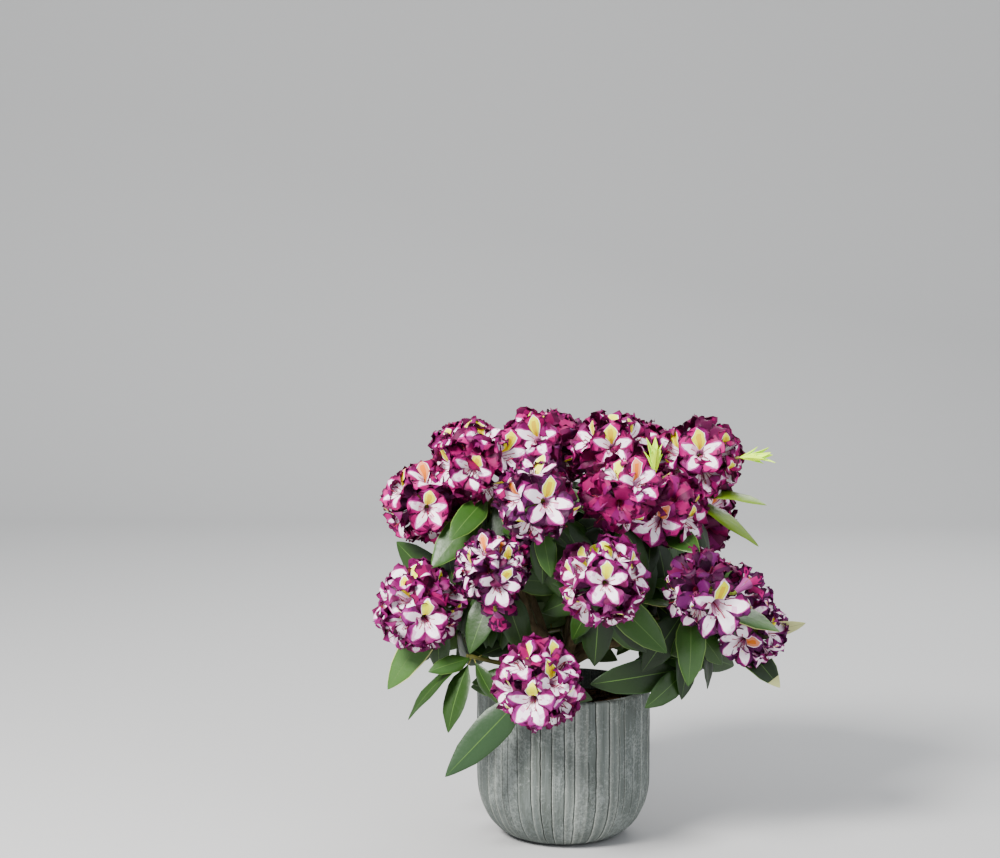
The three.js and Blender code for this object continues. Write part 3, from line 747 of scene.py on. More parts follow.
def add_leaf(heap, leaf, seed, fold=None):
    """A leathery blade on a stalk, with a keel, a wavy edge and bulges between its veins."""
    root, heading, face, side, bow = arch(leaf)
    share = LEAF_ROWS[:, None]
    across = LEAF_ACROSS[None, :]
    outline = LEAF_OUTLINE[:, None]
    turn = leaf["sag"] * share
    up = face * np.cos(turn)[..., None] + heading * np.sin(turn)[..., None]
    spine = root + heading * bow * np.sin(turn)[..., None] - face * bow * (1 - np.cos(turn))[..., None]
    fold = between(*LEAF_FOLDS, chance(seed + 3)) if fold is None else fold
    phase = TURN * (LEAF_WAVES * share + chance(seed + 1)) + 1.2 * np.sign(across)
    wave = LEAF_WAVE * leaf["width"] * np.sin(phase)
    veins = VEIN_HEIGHT * np.sin(TURN * (VEINS * share - VEIN_SLANT * np.abs(across)))
    height = -LEAF_KEEL * fold * np.abs(across) ** 1.4 + wave * across ** 2 + veins * (1 - across ** 2)
    height *= outline
    slim = YOUNG_SLIM if leaf["tone"] == "young" else 1
    reach = across * outline * BLADE_SPREAD * slim * leaf["width"] / 2
    middle = spine + side * reach[..., None] + up * height[..., None]
    thick = LEAF_THICK * np.maximum(0.5, outline)[..., None]
    heap.add(sheet_points(middle, thick), LEAF_FACES, leaf_finishes(leaf["tone"]))


balls = [(shoot.middle, shoot.reach) for shoot in every_shoot if shoot.reach]


def has_room(leaf):
    """Whether a leaf's blade keeps out of the trusses and the planter, and in the solids' box."""
    root, heading, face, side, bow = arch(leaf)
    for share in ROOM_PLACES:
        turn = leaf["sag"] * share
        spine = root + heading * bow * math.sin(turn) - face * bow * (1 - math.cos(turn))
        half = 0.5 * leaf["width"] * np.interp(share, LEAF_ROWS, LEAF_OUTLINE)
        for spot in (spine - side * half, spine, spine + side * half):
            spot = Vector(spot)
            if any((spot - middle).length < TRUSS_ROOM * reach for middle, reach in balls):
                return False
            if spot.z < LOWEST_TIP and math.hypot(spot.x, spot.y) < POT_RADIUS + RIM_ROOM:
                return False
            if not all(low < at * MM < high for low, at, high in zip(cad_box[0], spot, cad_box[1])):
                return False
    return True


def node_points(node):
    """The points of a node of the frame, in millimetres."""
    return [vertex.co / MM for vertex in frame["nodes"][node].data.vertices]


def shortened(leaf, size):
    tip = leaf["root"].lerp(leaf["tip"], size)
    return {**leaf, "tip": tip, "width": leaf["width"] * size}


def grow_leaves(mass):
    """The leaves of a mass: those its solid bears, then shorter ones where others found no room."""
    points = node_points("foliage_" + mass.name)
    solid = KDTree(len(points))
    for i, point in enumerate(points):
        solid.insert(point, i)
    solid.balance()
    grown = []
    for shoot in mass.shoots:
        for tries in leaves_offered(shoot):
            borne = (leaf for leaf in tries if solid.find(leaf["tip"])[2] < TIP_MATCH)
            short = (shortened(leaf, size) for size in SHORTER_SIZES for leaf in tries)
            leaf = next(borne, None) or next(filter(has_room, short), None)
            if leaf:
                grown.append(leaf)
    return grown


def add_tuft(heap, tuft, index):
    """Young, narrow leaves fanned round the end of a twig."""
    name, foot, toward, count, length = tuft
    foot = Vector(foot)
    toward = Vector(toward).normalized()
    first, second = square_to(toward, Vector((0, 1, 0)))
    start = on_line(masses[name].shoots[-1].line, WHORL_SHARE)
    line = smooth_line([start, foot, foot + toward * 3], 2)
    tube(heap, line, np.linspace(TWIG_RADIUS, 2, len(line)), 7, LEAVES["stalk"])
    for i in range(count):
        seed = TUFT_SEED + 100 * index + 7 * i
        turn = i * GOLDEN_TURN
        lean = between(*TUFT_LEANS, (i % TUFT_ROUND) / TUFT_ROUND)
        heading = toward * math.cos(lean)
        heading += (first * math.cos(turn) + second * math.sin(turn)) * math.sin(lean)
        reach = length * between(*TUFT_REACHES, chance(seed))
        if i >= TUFT_LONG_LEAVES:
            reach *= TUFT_SHORTER
        leaf = leaf_of(foot, foot + heading * reach, toward, reach * TUFT_SHAPE, TUFT_BEND, "lime", 0)
        add_leaf(heap, leaf, seed, fold=TUFT_FOLD)


# Trusses

FACE_LEAN = math.atan(2)
THROAT_HEIGHT = 0.65

# A petal from the foot of its tube to the tip of its lobe: distance from the floret's axis,
# height along it and half width, in shares of the truss's reach
THROAT_RADIUS = 0.115
PETAL_ROWS = np.array([0, 0.24, 0.42, 0.5, 0.58, 0.66, 0.74, 0.82, 0.9, 0.96, 1])
PETAL_STEPS = [0, 0.22, 0.42, 0.54, 0.66, 0.78, 0.89, 1]
PETAL_OUT = np.interp(
    PETAL_ROWS, PETAL_STEPS, [0.04, 0.065, THROAT_RADIUS, 0.235, 0.36, 0.46, 0.53, 0.585])
PETAL_UP = np.interp(PETAL_ROWS, PETAL_STEPS, [0.24, 0.46, 0.65, 0.735, 0.785, 0.808, 0.808, 0.79])
PETAL_HALF = np.array([0.03, 0.052, 0.09, 0.155, 0.212, 0.242, 0.236, 0.196, 0.126, 0.06, 0.008])
PETAL_THICK = 0.015
LOBE_START = 0.42

# The lowest and the highest of what each lobe draws for itself
LOBE_SIZES = (0.88, 1.05)
LOBE_WIDTHS = (0.93, 1.07)
LOBE_BENDS = (-0.15, 0.03)
LOBE_CUPS = (-0.08, 0.02)
LOBE_TWISTS = (-0.02, 0.07)
LOBE_RUFFLES = (0.04, 0.08)
LOBE_SKEWS = (-0.07, 0.07)
UPPER_SIZE = 1.05
RUFFLES = 3.4
SIDE_RUFFLE = 0.14

# The share of a lobe's width that is white, for the thinnest margin and for the thickest
WHITE_ROWS = [0.42, 0.5, 0.58, 0.66, 0.74, 0.82, 0.9, 0.97]
THIN_MARGIN = [1, 0.94, 0.8, 0.67, 0.56, 0.45, 0.3, 0.06]
THICK_MARGIN = [0.9, 0.64, 0.4, 0.26, 0.17, 0.1, 0.05, 0.02]

# A margin: the depth and number of its waves, where the white ends at the tip for the thinnest and
# the thickest, and the shares of its soft and deep bands and of the streak in the white
EDGE_WAVES = [(0.1, 2.7), (0.07, 5.6)]
TIP_ENDS = (0.98, 0.86)
SOFT_BAND = 0.2
DEEP_BANDS = (0.68, 0.9)
STREAK_SHARE = 0.12

# The share of the upper lobe that its flare takes: a kite with its point near the tip
FLARE_ROWS = [0.3, 0.44, 0.54, 0.64, 0.74, 0.85]
FLARE_SHARE = [0.3, 0.8, 0.7, 0.5, 0.25, 0.03]
FLARE_HEART = 0.42

# How far along a petal its colours begin and end
THROAT_END = 0.3
MARGIN_START = 0.45
STREAK_END = 0.5
HEART_END = 0.68
FLARE_END = 0.84
TIP_BLUSH = 0.14
TUBE_END = 0.4

# Ten lines run along a petal: its edges, those between the colours of its margin, the border of
# its white star or of its flare, and those of its streak. Its back has lines of its own.
PETAL_LINES = 10
BACK_LINES = [3, 4, 5, 6]

# How a truss looks: size of its florets and of the first seen one, width of their lobes, share
# of a lobe that its margin takes, tones of the margins, of their very edge and of the backs, the
# angle between florets, and the share of florets without white. The margin tones hold painted
# light: the sunlit looks of the upper trusses take cerise and a strong magenta-pink as painted
# sunlight, and the deeper purple, plum and wine margins of the other looks are partly painted shade.
Look = namedtuple("Look", "size lead lobe margin margins edge backs apart plain")
LOOKS = {
    "starry": Look(
        0.94, 0.9, 1.0, 0.6, ("rose", "rose", "wine", "mauve"), "wine", ("wine", "rose"), 0.57, 0.0),
    "slender": Look(
        0.96, 1.1, 0.82, 0.45, ("purple", "rose", "plum"), "plum", ("outside", "plum"), 0.62, 0.1),
    "mauve": Look(
        0.98, 1.12, 0.88, 0.45, ("purple", "mauve", "rose"), "plum", ("outside", "purple"), 0.62, 0.15),
    "bold": Look(
        0.94, 1.4, 0.76, 0.3, ("purple", "mauve", "rose"), "plum", ("outside", "plum"), 0.62, 0.25),
    "vivid_sunlit": Look(
        0.96, 1.0, 1.0, 1.0, ("cerise", "hot", "rose"), "wine", ("outside", "wine"), 0.6, 0.5),
    "violet": Look(
        0.96, 1.15, 0.9, 0.75, ("purple", "rose", "plum"), "plum", ("outside", "plum"), 0.6, 0.3),
    "rosy_sunlit": Look(
        0.98, 1.08, 1.0, 0.9, ("cerise", "rose", "hot"), "wine", ("outside", "outside_deep"), 0.6, 0.5),
}

# The outer and the middle tone of a flare
FLARES = {
    "cream": ("cream", "yellow"), "gold": ("yellow", "gold"), "amber": ("salmon", "amber"),
    "back": ("cream", "yellow"),
}
USUAL_FLARES = ("gold", "cream", "amber", "gold")

# The tones of a dark or a plain floret, which has no white and no flare. Its backs have the first two.
WHOLE_TONES = {"dark": ("plum", "wine", "purple"), "plain": ("cerise", "wine", "rose")}

# The share of the white faces that blush, and of the back's faces that are deeper than the rest
BLUSH_SHARE = 0.12
DEEP_BACKS = 0.15

# The first floret that a shoot lists leads its truss: it stands out, is turned to the front and
# has room round it. A floret that isn't listed stands lower, the nearer it is to a listed one.
LEAD_STAND = 1.12
LEAD_ROOM = 0.06
LEAD_TURN = Vector((0, -0.6, 0.1))
BESIDE_LEAD = 0.97
LOW_STAND_ENDS = [0.6, 1.1]
LOW_STANDS = [0.88, 1.06]
STAND_SPREAD = (0.95, 1.03)
AXIS_STRAY = 0.2
FURTHEST_ASIDE = 0.98

# A floret seen from the back faces away, and stands out far enough to show
BACK_TURN = Vector((1.3, 0.9, 0.5))
BACK_STAND = 0.36

# A floret: its lobes, how wide it opens, its stamens, and its neck and stalk
LOBES = 5
LOBE_STRAY = 0.1
OPEN_SHARES = (0.84, 1.04)
MARGIN_SPREAD = (0.75, 1.2)
STAMENS = 5
STAMEN_STRAY = 0.6
STAMEN_SPREADS = (0.07, 0.16)
STAMEN_LENGTHS = (0.68, 0.78)
PISTIL_LENGTH = 0.84
NECK_HEIGHT = 0.26
NECK_RUN = 0.12
NECK_RADIUS = 0.045
STALK_RADIUS = 1.6

# How many more spots are tried over a truss's ball, and how far behind it they stop
SPARE_SPOTS = 70
HIDDEN_SPOT = -0.8


def petal_faces():
    """The faces of a petal: its front on every line, its back on a few of them."""
    rows = len(PETAL_ROWS)
    upper = np.arange(rows * PETAL_LINES).reshape(rows, PETAL_LINES)
    middle = rows * PETAL_LINES + np.arange(rows * len(BACK_LINES)).reshape(rows, len(BACK_LINES))
    back = np.concatenate([upper[:, :1], middle, upper[:, -1:]], axis=1)
    fronts = [upper[:-1, :-1], upper[:-1, 1:], upper[1:, 1:], upper[1:, :-1]]
    backs = [back[1:, :-1], back[1:, 1:], back[:-1, 1:], back[:-1, :-1]]
    return np.concatenate([np.stack([c.ravel() for c in corners], axis=1) for corners in (fronts, backs)])


PETAL_FACES = petal_faces()


def ball_spots(shoot):
    """Spots over a truss's ball: the twelve of the solid's, then more that wind from its front
    to its back."""
    first, second = round_about(shoot.axis)
    spin = chance(shoot.seed + 1) * TURN / 5
    leans = [(0, spin)]
    for lean, offset in ((FACE_LEAN, 0), (math.pi - FACE_LEAN, 0.5)):
        leans += [(lean, spin + (k + offset) * TURN / 5) for k in range(5)]
    for k in range(SPARE_SPOTS):
        leans.append((math.acos(1 - 2 * (k + 0.5) / SPARE_SPOTS), spin + GOLDEN_TURN * k))
    outward = (shoot.middle - HEART).normalized()
    spots = []
    for lean, turn in leans:
        flat = first * math.cos(turn) + second * math.sin(turn)
        spot = shoot.axis * math.cos(lean) + flat * math.sin(lean)
        if spot.dot(outward) > HIDDEN_SPOT:
            spots.append(spot)
    return spots


def truss_florets(shoot):
    """The florets of a truss as (spot on its ball, way it faces, roll, flare): the seen ones,
    then others wherever there is still room."""
    florets = []
    for right, up, roll, flare in shoot.seen:
        aside = Vector((right, 0, up)) / THROAT_HEIGHT
        if aside.length > FURTHEST_ASIDE:
            aside *= FURTHEST_ASIDE / aside.length
        spot = aside - Vector((0, math.sqrt(1 - aside.length_squared), 0))
        away = Vector((BACK_TURN.x * right, BACK_TURN.y, BACK_TURN.z + up)).normalized()
        facing = (spot + LEAD_TURN).normalized() if not florets else spot
        florets.append((spot, away if flare == "back" else facing, roll, flare))
    look = LOOKS[shoot.look]
    for spot in ball_spots(shoot):
        gaps = [spot.angle(other) for other, *_ in florets]
        if gaps and shoot.seen:
            gaps[0] -= LEAD_ROOM * look.lead
        if min(gaps, default=math.pi) > look.apart:
            seed = shoot.seed + 3 * len(florets)
            flare = USUAL_FLARES[int(len(USUAL_FLARES) * chance(seed))]
            if chance(seed + 2) < look.plain:
                flare = "plain"
            florets.append((spot, spot, 0.5 * (chance(seed + 1) - 0.5), flare))
    return florets


def petal_lines(margin, upper_lobe, rng):
    """Where each line along a petal runs at each row, from -1 to 1 across it, and where its
    white ends near the tip."""
    thin = np.interp(PETAL_ROWS, WHITE_ROWS, THIN_MARGIN)
    thick = np.interp(PETAL_ROWS, WHITE_ROWS, THICK_MARGIN)
    sides = []
    for _ in range(2):
        waves = sum(
            size * np.sin(TURN * (rate * PETAL_ROWS + rng.random())) for size, rate in EDGE_WAVES)
        white = np.clip(between(thin, thick, margin) * (1 + waves), 0.03, 0.97)
        soft = white + (1 - white) * SOFT_BAND
        outer, inner, streak = soft, white, STREAK_SHARE * white
        if upper_lobe:
            flare = np.interp(PETAL_ROWS, FLARE_ROWS, FLARE_SHARE) * (1 + 1.6 * waves)
            outer = np.maximum(white, np.minimum(1.15 * flare, 0.9))
            inner, streak = flare, FLARE_HEART * flare
        deep = outer + (1 - outer) * between(*DEEP_BANDS, rng.random())
        sides.append([np.ones_like(white), deep, outer, inner, streak])
    left, right = sides
    lines_across = np.stack([-line for line in left] + right[::-1], axis=1)
    return lines_across, between(*TIP_ENDS, margin)


def petal_finishes(look, flare, whole, tip_end, rng):
    """The finish of each face of a petal: a flare marks the upper lobe and a streak the others,
    but where one tone takes the whole petal."""
    share = (PETAL_ROWS[:-1] + PETAL_ROWS[1:]) / 2
    margins = whole or look.margins
    left, right = (PETALS[margins[int(len(margins) * rng.random())]] for _ in range(2))
    edge, soft, white = PETALS[look.edge], PETALS["pink"], PETALS["white"]
    front = np.tile([edge, left, soft, white, white, white, soft, right, edge], (len(share), 1))
    front[share < MARGIN_START, :2] = left
    front[share < MARGIN_START, 7:] = right
    if whole:
        front[:, 2:5] = left
        front[:, 5:7] = right
    else:
        front[share > tip_end - TIP_BLUSH, 3:6] = PETALS["blush"]
        front[share > tip_end, 2:5] = left
        front[share > tip_end, 5:7] = right
    if flare and not whole:
        outer, middle = (PETALS[name] for name in FLARES[flare])
        front[share < tip_end, 2] = white
        front[share < tip_end, 6] = white
        front[(share > THROAT_END) & (share < FLARE_END), 3:6] = outer
        front[(share > THROAT_END) & (share < HEART_END), 4] = middle
    elif not whole:
        front[share < STREAK_END, 4] = PETALS["crimson"]
    front[share < THROAT_END] = PETALS["crimson" if whole else "blush"]
    front[(front == white) & (rng.random(front.shape) < BLUSH_SHARE)] = PETALS["blush"]
    light, deep = (PETALS[name] for name in (whole or look.backs)[:2])
    back = np.full((len(share), len(BACK_LINES) + 1), light)
    back[:, [0, -1]] = deep
    back[rng.random(back.shape) > 1 - DEEP_BACKS] = deep
    back[share < TUBE_END] = PETALS["tube"]
    return np.concatenate([front.ravel(), back.ravel()])


def petal_sheet(across, upper_lobe, wide, open_share, rng):
    """The shape of a petal: distance out, to the side and up, in shares of the reach."""
    share = PETAL_ROWS[:, None]
    lobed = np.clip((share - LOBE_START) / (1 - LOBE_START), 0, 1)
    size = between(*LOBE_SIZES, rng.random()) * (UPPER_SIZE if upper_lobe else 1)
    out = THROAT_RADIUS + (PETAL_OUT[:, None] - THROAT_RADIUS) * np.where(lobed > 0, size, 1)
    out = out * (1 + (open_share - 1) * lobed) * (1 + 0.2 * (1 - across ** 2) * (1 - lobed) ** 2)
    half = PETAL_HALF[:, None] * np.where(lobed > 0, wide * between(*LOBE_WIDTHS, rng.random()), 1)
    up = PETAL_UP[:, None] + (1 - open_share) * 0.6 * lobed * out
    up = up + between(*LOBE_BENDS, rng.random()) * lobed ** 2.4
    up = up + between(*LOBE_CUPS, rng.random()) * across ** 2 * lobed
    twist = between(*LOBE_TWISTS, rng.random())
    up = up + twist * across * np.sin(math.pi * np.minimum(lobed, 0.7))
    rim = np.maximum(across ** 4, lobed ** 7) * np.minimum(4 * lobed, 1)
    phase = TURN * (RUFFLES * share + (rng.random() + 0.4 * np.sign(across)))
    up = up + between(*LOBE_RUFFLES, rng.random()) * rim * np.sin(phase)
    skew = between(*LOBE_SKEWS, rng.random()) * lobed ** 2
    side = skew + half * across * (1 + SIDE_RUFFLE * rim * np.cos(phase))
    return np.stack(np.broadcast_arrays(out, side, up), axis=2)


def petal_points(sheet, thickness):
    """The points of a petal's front, then of the lines of its back that the front doesn't hold."""
    normal = np.cross(np.gradient(sheet, axis=0), np.gradient(sheet, axis=1))
    normal /= np.maximum(np.linalg.norm(normal, axis=2, keepdims=True), 1e-9)
    depth = thickness * np.minimum(1, 14 * (1 - PETAL_ROWS))[:, None, None]
    back = (sheet - normal * depth)[:, BACK_LINES]
    return np.concatenate([sheet.reshape(-1, 3), back.reshape(-1, 3)])


def add_floret(heap, centre, axis, reach, size, roll, flare, shoot, seed):
    """Five ruffled lobes on a tube, with stamens and a stalk."""
    rng = np.random.default_rng(seed)
    look = LOOKS[shoot.look]
    guide = Vector((0, 0, 1)) if abs(axis.z) < 0.93 else Vector((0, 0.6, 0.4))
    above, beside = square_to(axis, guide)
    open_share = between(*OPEN_SHARES, rng.random())
    spread = np.array([reach * size, reach * size, reach])
    for lobe in range(LOBES):
        turn = lobe * TURN / LOBES + roll + rng.normal(0, LOBE_STRAY)
        outward = above * math.cos(turn) + beside * math.sin(turn)
        basis = np.array([outward, outward.cross(axis), axis])
        margin = look.margin * between(*MARGIN_SPREAD, rng.random())
        across, tip_end = petal_lines(margin, lobe == 0, rng)
        sheet = petal_sheet(across, lobe == 0, look.lobe, open_share, rng) * spread
        points = petal_points(sheet, PETAL_THICK * reach) @ basis + np.array(centre)
        tone = flare if lobe == 0 else None
        finishes = petal_finishes(look, tone, WHOLE_TONES.get(flare), tip_end, rng)
        heap.add(points, PETAL_FACES, finishes)
    for k in range(STAMENS):
        add_stamen(heap, centre, axis, above, beside, reach, k == 0, rng)
    neck = centre + axis * NECK_HEIGHT * reach
    stalk = smooth_line([shoot.middle, neck - axis * NECK_RUN * reach, neck], 1)
    radii = np.linspace(STALK_RADIUS, NECK_RADIUS * reach, len(stalk))
    tube(heap, stalk, radii, 5, PETALS["stalk"])


def add_stamen(heap, centre, axis, above, beside, reach, pistil, rng):
    """A thread that curves up out of the throat, with its head; the pistil is the stoutest."""
    turn = math.pi + rng.normal(0, STAMEN_STRAY)
    outward = above * math.cos(turn) + beside * math.sin(turn)
    spread = between(*STAMEN_SPREADS, rng.random())
    length = PISTIL_LENGTH if pistil else between(*STAMEN_LENGTHS, rng.random())
    thick = 0.75 if pistil else 0.5
    shape = [(0.3, 0.02), (0.48, 0.04), (0.62, spread), (length, spread * 0.8)]
    line = [centre + (axis * up + outward * out) * reach for up, out in shape]
    tube(heap, line, [thick] * len(line), 3, PETALS["pistil" if pistil else "filament"])
    head = [line[-1] + axis * step for step in (0, 1.1, 2.2)]
    tube(heap, head, [0.6, 1, 0.6], 3, PETALS["pistil" if pistil else "anther"])


def add_truss(heap, shoot):
    """A round head of florets that face away from its middle, but for those turned to the back.
    Those beside a seen floret stand lower, to pass beneath its lobes."""
    look = LOOKS[shoot.look]
    florets = truss_florets(shoot)
    seen = [spot for spot, *_ in florets[:len(shoot.seen)]]
    for i, (spot, axis, roll, flare) in enumerate(florets):
        seed = shoot.seed + 37 * i
        reach = shoot.reach
        size = look.size
        centre = shoot.middle + (spot - axis) * THROAT_HEIGHT * reach
        if flare == "back":
            centre += spot * BACK_STAND * reach
        elif i >= len(seen):
            nearest = min((spot.angle(other) for other in seen), default=LOW_STAND_ENDS[1])
            stray = Vector([chance(seed + n) - 0.5 for n in (3, 4, 5)])
            axis = (axis + stray * AXIS_STRAY).normalized()
            reach *= np.interp(nearest, LOW_STAND_ENDS, LOW_STANDS)
            reach *= between(*STAND_SPREAD, chance(seed + 6))
        elif i == 0:
            reach *= LEAD_STAND
            size = look.lead / LEAD_STAND
        elif seen[0].angle(spot) < LOW_STAND_ENDS[1]:
            reach *= BESIDE_LEAD
        add_floret(heap, centre, axis, reach, size, roll, flare, shoot, seed)


# Twigs, trunk and boughs

STEM_RADII = [BOUGH_TIP_RADIUS, 4.2, 4, 3.6]

# The radius of a twig by places along it, with a swelling where its whorl sits
TWIG_PLACES = [0, 0.3, 0.62, 0.68, 0.8, 1]
TWIG_RADII = [3.8, 3.3, 3, 3.9, 2.9, 2.6]
BARK_RELIEF = 0.14


def add_twigs(heap, mass):
    """The stem of a mass and its twigs, green where they are young."""
    stem = [mass.foot, mass.fork, mass.fork + mass.way * 3]
    tube(heap, smooth_line(stem, 1), STEM_RADII, 10, LEAVES["twig_brown"])
    for shoot in mass.shoots:
        line = smooth_line(shoot.line, 3)
        radii = np.interp(np.linspace(0, 1, len(line)), TWIG_PLACES, TWIG_RADII)
        tube(heap, line, radii, 9, LEAVES["twig"])


def bark_relief(centre, turns):
    """Low ridges along a limb, broken every so often."""
    along = centre[2] * 0.09 + centre[0] * 0.02
    spots = [Vector((3 * math.cos(turn), 3 * math.sin(turn), along)) for turn in turns]
    return 1 + BARK_RELIEF * np.array([noise.noise(spot) for spot in spots])


def trunk_radius(height):
    share = (height - TRUNK_FOOT.z) / (TRUNK_TOP.z - TRUNK_FOOT.z)
    flare = max(0, 1 - (height - TRUNK_FOOT.z) / FLARE_HEIGHT)
    return between(TRUNK_RADIUS, TRUNK_TOP_RADIUS, share) + (FLARE_RADIUS - TRUNK_RADIUS) * flare ** 2


def add_bark():
    heap = Heap()
    line = smooth_line(lines["trunk"], 3)
    tube(heap, line, [trunk_radius(p[2]) for p in line], 28, 0, bark_relief)
    for mass in masses.values():
        thick = BOUGH_BASE_RADIUS if mass.parent == "trunk" else SIDE_BOUGH_RADIUS
        line = smooth_line(lines[mass.name], 3)
        tube(heap, line, np.linspace(thick, BOUGH_TIP_RADIUS, len(line)), 18, 0, bark_relief)
    return heap


def bark_finish():
    finish = Finish("bark", Specular_IOR_Level=0.25)
    ridges = finish.noise(90, 6, 0.65, (1, 1, 0.25))
    patches = finish.noise(22, 3, 0.5)
    brown = finish.ramp(ridges, [
        (0.3, colour("3A2A1E")), (0.55, colour("6E5640")), (0.75, colour("9A8468"))])
    finish.feed("Base Color", finish.mix(patches * 0.5, brown, colour("7C7A55")))
    finish.feed("Roughness", ridges * 0.3 + 0.6)
    finish.feed("Normal", finish.bump(ridges, 0.8, 0.004))
    return finish.material


# Planter and soil

# The points across a stave from its joint: where each lies, and how far it stands out
STAVE_PLACES = np.array([0, 0.035, 0.075, 0.15, 0.36, 0.54, 0.72, 0.88, 0.96])
GROOVE_DEPTH = 2.4
LIP_HEIGHT = 0.4
STAVE_DEPTHS = np.array([-GROOVE_DEPTH, -1.7, LIP_HEIGHT, 0.04, -0.1, -0.15, -0.1, 0, -0.2])
GROOVE_FADE = 14
LEAST_CUT = 0.15
CURVE_RINGS = 18
WALL_RINGS = 30
RIM_ROUND = 3

# The seeds of what is drawn for each stave: its joint, the joint's depth, how far the stave
# stands out, and where the joint ends below and above
JOINT_SEED = 9000
DEPTH_SEED = 9100
STAND_SEED = 9200
LOW_END_SEED = 9300
HIGH_END_SEED = 9400


def pot_rings():
    """The outside, rim and inside of the planter, as (radius, height) from foot to floor."""
    rings = [(0, 0), (FOOT_RADIUS * 0.5, 0), (FOOT_RADIUS - 2, 0)]
    for i in range(1, CURVE_RINGS + 1):
        turn = i / CURVE_RINGS * math.pi / 2
        rings.append((between(FOOT_RADIUS, POT_RADIUS, math.sin(turn)), FOOT_CURVE * (1 - math.cos(turn))))
    shoulder = POT_HEIGHT - RIM_ROUND
    for height in np.linspace(FOOT_CURVE, shoulder, WALL_RINGS)[1:]:
        rings.append((POT_RADIUS, height))
    for i in range(1, 6):
        turn = i / 6 * math.pi / 2
        rings.append((POT_RADIUS - RIM_ROUND * (1 - math.cos(turn)), shoulder + RIM_ROUND * math.sin(turn)))
    rings.append((POT_RADIUS - WALL / 2, POT_HEIGHT))
    inside = POT_RADIUS - WALL
    for i in range(6):
        turn = i / 5 * math.pi / 2
        radius = inside + RIM_ROUND - RIM_ROUND * math.sin(turn)
        rings.append((radius, shoulder + RIM_ROUND * math.cos(turn)))
    for height in (POT_HEIGHT - 12, POT_HEIGHT - 22, SOIL_TOP - 6):
        rings.append((inside, height))
    rings.append((0, SOIL_TOP - 8))
    return rings


def groove_span(stave):
    """The heights between which the joint beside a stave is open: most run all the way."""
    low = between(-20, 90, max(0, chance(LOW_END_SEED + stave) - 0.6) / 0.4)
    high = POT_HEIGHT + 20 - between(0, 110, max(0, chance(HIGH_END_SEED + stave) - 0.65) / 0.35)
    return low, high


def stave_points():
    """The turn and the depth of each point round a ring of staves of uneven width."""
    joints = [(i + 0.5 * (chance(JOINT_SEED + i) - 0.5)) * TURN / STAVES for i in range(STAVES)]
    joints.append(joints[0] + TURN)
    turns, depths = [], []
    for i in range(STAVES):
        shallow = between(0.35, 1.1, chance(DEPTH_SEED + i))
        stand = 0.35 * (chance(STAND_SEED + i) - 0.5)
        for place, depth in zip(STAVE_PLACES, STAVE_DEPTHS):
            turns.append(between(joints[i], joints[i + 1], place))
            depths.append(depth * (shallow if place < 0.1 else 1) + stand)
    return np.array(turns), np.array(depths)


def joint_wander(turn, height):
    """How far a joint strays to the side: in slow waves, and in finer ones on them."""
    slow = noise.noise(Vector((turn * 7.6, height * 0.012, 4)))
    fine = noise.noise(Vector((turn * 7.6, height * 0.07, 9)))
    return 0.012 * slow + 0.006 * fine


def wall_bump(turn, height):
    """How far the wall swells or sinks at a spot, from 1 to -1."""
    return noise.noise(Vector((math.cos(turn) * 9, math.sin(turn) * 9, height * 0.05)))


def make_planter():
    """Staves of uneven width with a narrow groove and a raised lip at each joint."""
    turns, depths = stave_points()
    grooved = np.repeat([groove_span(i) for i in range(STAVES)], len(STAVE_PLACES), axis=0)
    in_joint = np.tile((STAVE_PLACES < 0.1) | (STAVE_PLACES > 0.9), STAVES)
    # Below zero the mark is the raised lip of a joint, which the finish paints with a highlight.
    groove = np.clip(-depths / GROOVE_DEPTH, 0, 1) - np.clip(depths / LIP_HEIGHT, 0, 1)
    rings = pot_rings()
    rim = 2 + CURVE_RINGS + WALL_RINGS
    rows, marks = [], []
    for i, (radius, height) in enumerate(rings[1:-1], 1):
        fade = np.interp(i, [0, 2, 5, rim, rim + 4, rim + 6], [0, 0.2, 1, 1, 0.35, 0])
        wander = np.array([joint_wander(turn, height) for turn in turns])
        rough = np.array([wall_bump(turn, height) for turn in turns])
        above = np.clip((height - grooved[:, 0]) / GROOVE_FADE, LEAST_CUT, 1)
        below = np.clip((grooved[:, 1] - height) / GROOVE_FADE, LEAST_CUT, 1)
        cut = np.where(in_joint, above * below, 1)
        reach = np.minimum(radius + fade * (depths * cut + 0.45 * rough), POT_RADIUS + 0.6)
        angle = turns + fade * wander
        heights = np.full(len(turns), height)
        rows.append(np.stack([reach * np.cos(angle), reach * np.sin(angle), heights], axis=1))
        marks.append(groove * cut)
    ends = [[[0, 0, height] for _, height in (rings[0], rings[-1])]]
    heap = Heap()
    heap.add(np.concatenate(rows + ends), ringed_faces(len(rows), len(turns)), 0)
    piece = heap.piece("planter_staves", [planter_finish()], 0.9)
    values = np.concatenate(marks + [[0, 0]]).astype(np.float32)
    piece.data.attributes.new("groove", "FLOAT", "POINT").data.foreach_set("value", values)
    return piece


